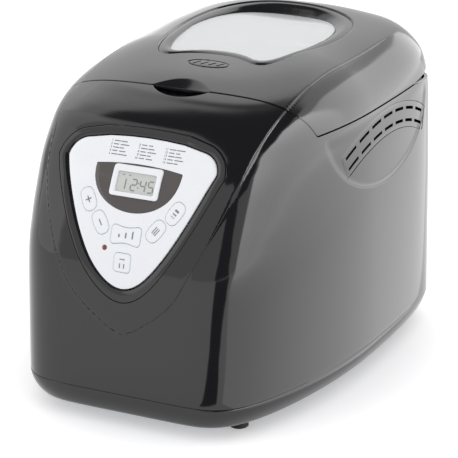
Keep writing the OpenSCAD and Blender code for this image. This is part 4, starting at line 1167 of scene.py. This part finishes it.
def sky_patch(name, corners, strength, rise=None):
    """A gloss sheet on a wide dome, its corners given as (azimuth, elevation), 0 in front and 90 to the right."""
    points = []
    for azimuth, elevation in corners:
        a, e = radians(azimuth), radians(elevation)
        points.append(DOME_MIDDLE + DOME_R * Vector((sin(a) * cos(e), -cos(a) * cos(e), sin(e))))
    gloss_sheet(name, filled(points), strength, rise)


def floor_patch(name, corners, strength, height, rise=None):
    """A gloss sheet just over the floor, its corners given as (x, y)."""
    gloss_sheet(name, filled([(x, y, height) for x, y in corners]), strength, rise)


def floor_sheet():
    """A pale floor that keeps the object's shadow; seen directly or in the gloss it fades out to white."""
    bm = bmesh.new()
    bmesh.ops.create_grid(bm, x_segments=1, y_segments=1, size=8)
    made, tree, surface = stage_sheet("floor", bm, hex_colour("#F2F2F4"), 0.9)
    place = add_node(tree, "TexCoord")
    scaled = add_node(tree, "Mapping", {"Scale": (1 / FLOOR_OVAL[0], 1 / FLOOR_OVAL[1], 1)},
        {"Vector": (place, "Object")})
    reach = add_node(tree, "VectorMath", {"operation": "LENGTH"}, {0: (scaled, 0)})
    fade = add_node(tree, "MapRange", {"From Min": FADE_FROM, "From Max": FADE_TO, "To Min": FLOOR_NEAR,
        "To Max": FLOOR_FAR, "interpolation_type": "SMOOTHSTEP"}, {"Value": (reach, "Value")})
    path = add_node(tree, "LightPath")
    seen = add_node(tree, "Math", {"operation": "MAXIMUM"}, {0: (path, "Is Camera Ray"), 1: (path, "Is Glossy Ray")})
    glow = add_node(tree, "Math", {"operation": "MULTIPLY"}, {0: (fade, "Result"), 1: (seen, 0)})
    tree.links.new(glow.outputs[0], surface.inputs["Emission Strength"])


# Brightness added to the floor near the object and far off, and the shares of an oval, in metres, where that fades
FLOOR_NEAR, FLOOR_FAR, FADE_FROM, FADE_TO, FLOOR_OVAL = 0.3, 0.5, 0.2, 0.37, (0.62, 0.72)
DOME_MIDDLE, DOME_R = Vector((0, -0.12, 0.22)), 5.0
floor_sheet()
# The dark of the ceiling between the lights, in the hood, and the dark strip down from it that draws the corner
sky_patch("flag_top", [(-137, 49), (-159, 55), (157, 51), (118, 54), (97, 44), (81, 38), (60, 36), (57, 29), (40, 26),
    (49, 10), (54, -2), (21, -2), (23, 17), (20, 26), (24, 40), (14, 45), (0, 44), (-14, 49), (-25, 55), (-62, 64),
    (-94, 64), (-109, 57), (-121, 55), (-127, 53.4), (-132, 51.4), (-134.5, 50.2)], 0.0)
floor_patch("flag_floor", [(0.06, -0.25), (0.12, -0.25), (0.15, -0.28), (0.2, -0.34), (0.27, -0.38), (0.44, -0.45),
    (3.2, -2.3), (2.0, -4.5), (0.26, -0.65), (0.14, -0.43), (0.1, -0.35)], 0.0, 0.003)
# Bright sheets: on the floor for the side's gloss, then round the dome from the right past the rear to the left
floor_patch("glow_side", [(0.145, -0.24), (0.6, -0.48), (5.2, -2.4), (5.2, 4.6), (0.9, 4.6), (0.14, 1.3)], 2.0, 0.002,
    ("X", 0.42, 1.3, 3.4))
sky_patch("glow_right", [(66, -2.4), (90, -2.4), (115, -2.4), (140, -2.4), (140, 40), (137, 50), (118, 52), (97, 42),
    (83, 37), (66, 34)], 3.6, ("Z", 0.3, 3.3, 5.8))
sky_patch("glow_rear", [(140, -2.4), (160, -2.4), (180, -2.4), (180, 24), (168, 25), (160, 32), (155, 40), (140, 40)],
    3.1)
sky_patch("glow_back", [(180, -2.4), (210, -2.4), (247, -2.4), (247, 36), (225, 37), (200, 37), (180, 36)], 1.15,
    ("Z", 0.9, 3.2, 1.95))
sky_patch("glow_back_left", [(223, 37.2), (247, 36.2), (247, 55.2), (239, 54.2), (233, 52.8), (228, 50.8),
    (225.5, 49.8), (223, 48.6)], 1.9, ("Z", 3.2, 3.95, 1.25))
sky_patch("glow_back_right", [(180, 36.2), (200, 37.2), (222.9, 37.2), (222.9, 48.6), (201, 54), (180, 52)], 1.95,
    ("Z", 3.2, 4.0, 1.6))
sky_patch("glow_above", [(141, 40.5), (155, 40.5), (160, 32.5), (168, 25.5), (179.5, 24.5), (179.5, 52), (158, 50.5),
    (141, 52)], 1.4)
sky_patch("dim_left", [(-92, -1), (-112, -1), (-112, 14), (-92, 14)], 0.75)
sky_patch("glow_left", [(-36, -1), (-62, -1), (-91.5, -1), (-91.5, 14.5), (-112.5, 14.5), (-112.5, 54.5), (-92, 61),
    (-64, 42), (-36, 34)], 1.95, ("Y", -3.9, -0.8, 1.5))

world = bpy.data.worlds.new("studio")
bpy.context.scene.world = world
world.use_nodes = True
tree = world.node_tree
plain = tree.nodes["Background"]
plain.inputs["Color"].default_value = (1, 1, 1, 1)

camera = bpy.data.objects.new("camera", bpy.data.cameras.new("camera"))
camera.data.lens = 177.4
camera.data.sensor_width = 36
camera.data.clip_end = 50
camera.location = (0.8314, -1.6377, 0.7263 + LIFT * MM)
right, up, back = Vector((0.8918, 0.4524, 0)), Vector((-0.1443, 0.2845, 0.9478)), Vector((0.4288, -0.8452, 0.3190))
camera.rotation_euler = Matrix((right, up, back)).transposed().to_euler()
bpy.context.scene.collection.objects.link(camera)
bpy.context.scene.camera = camera
bpy.context.scene.view_settings.view_transform = "Standard"
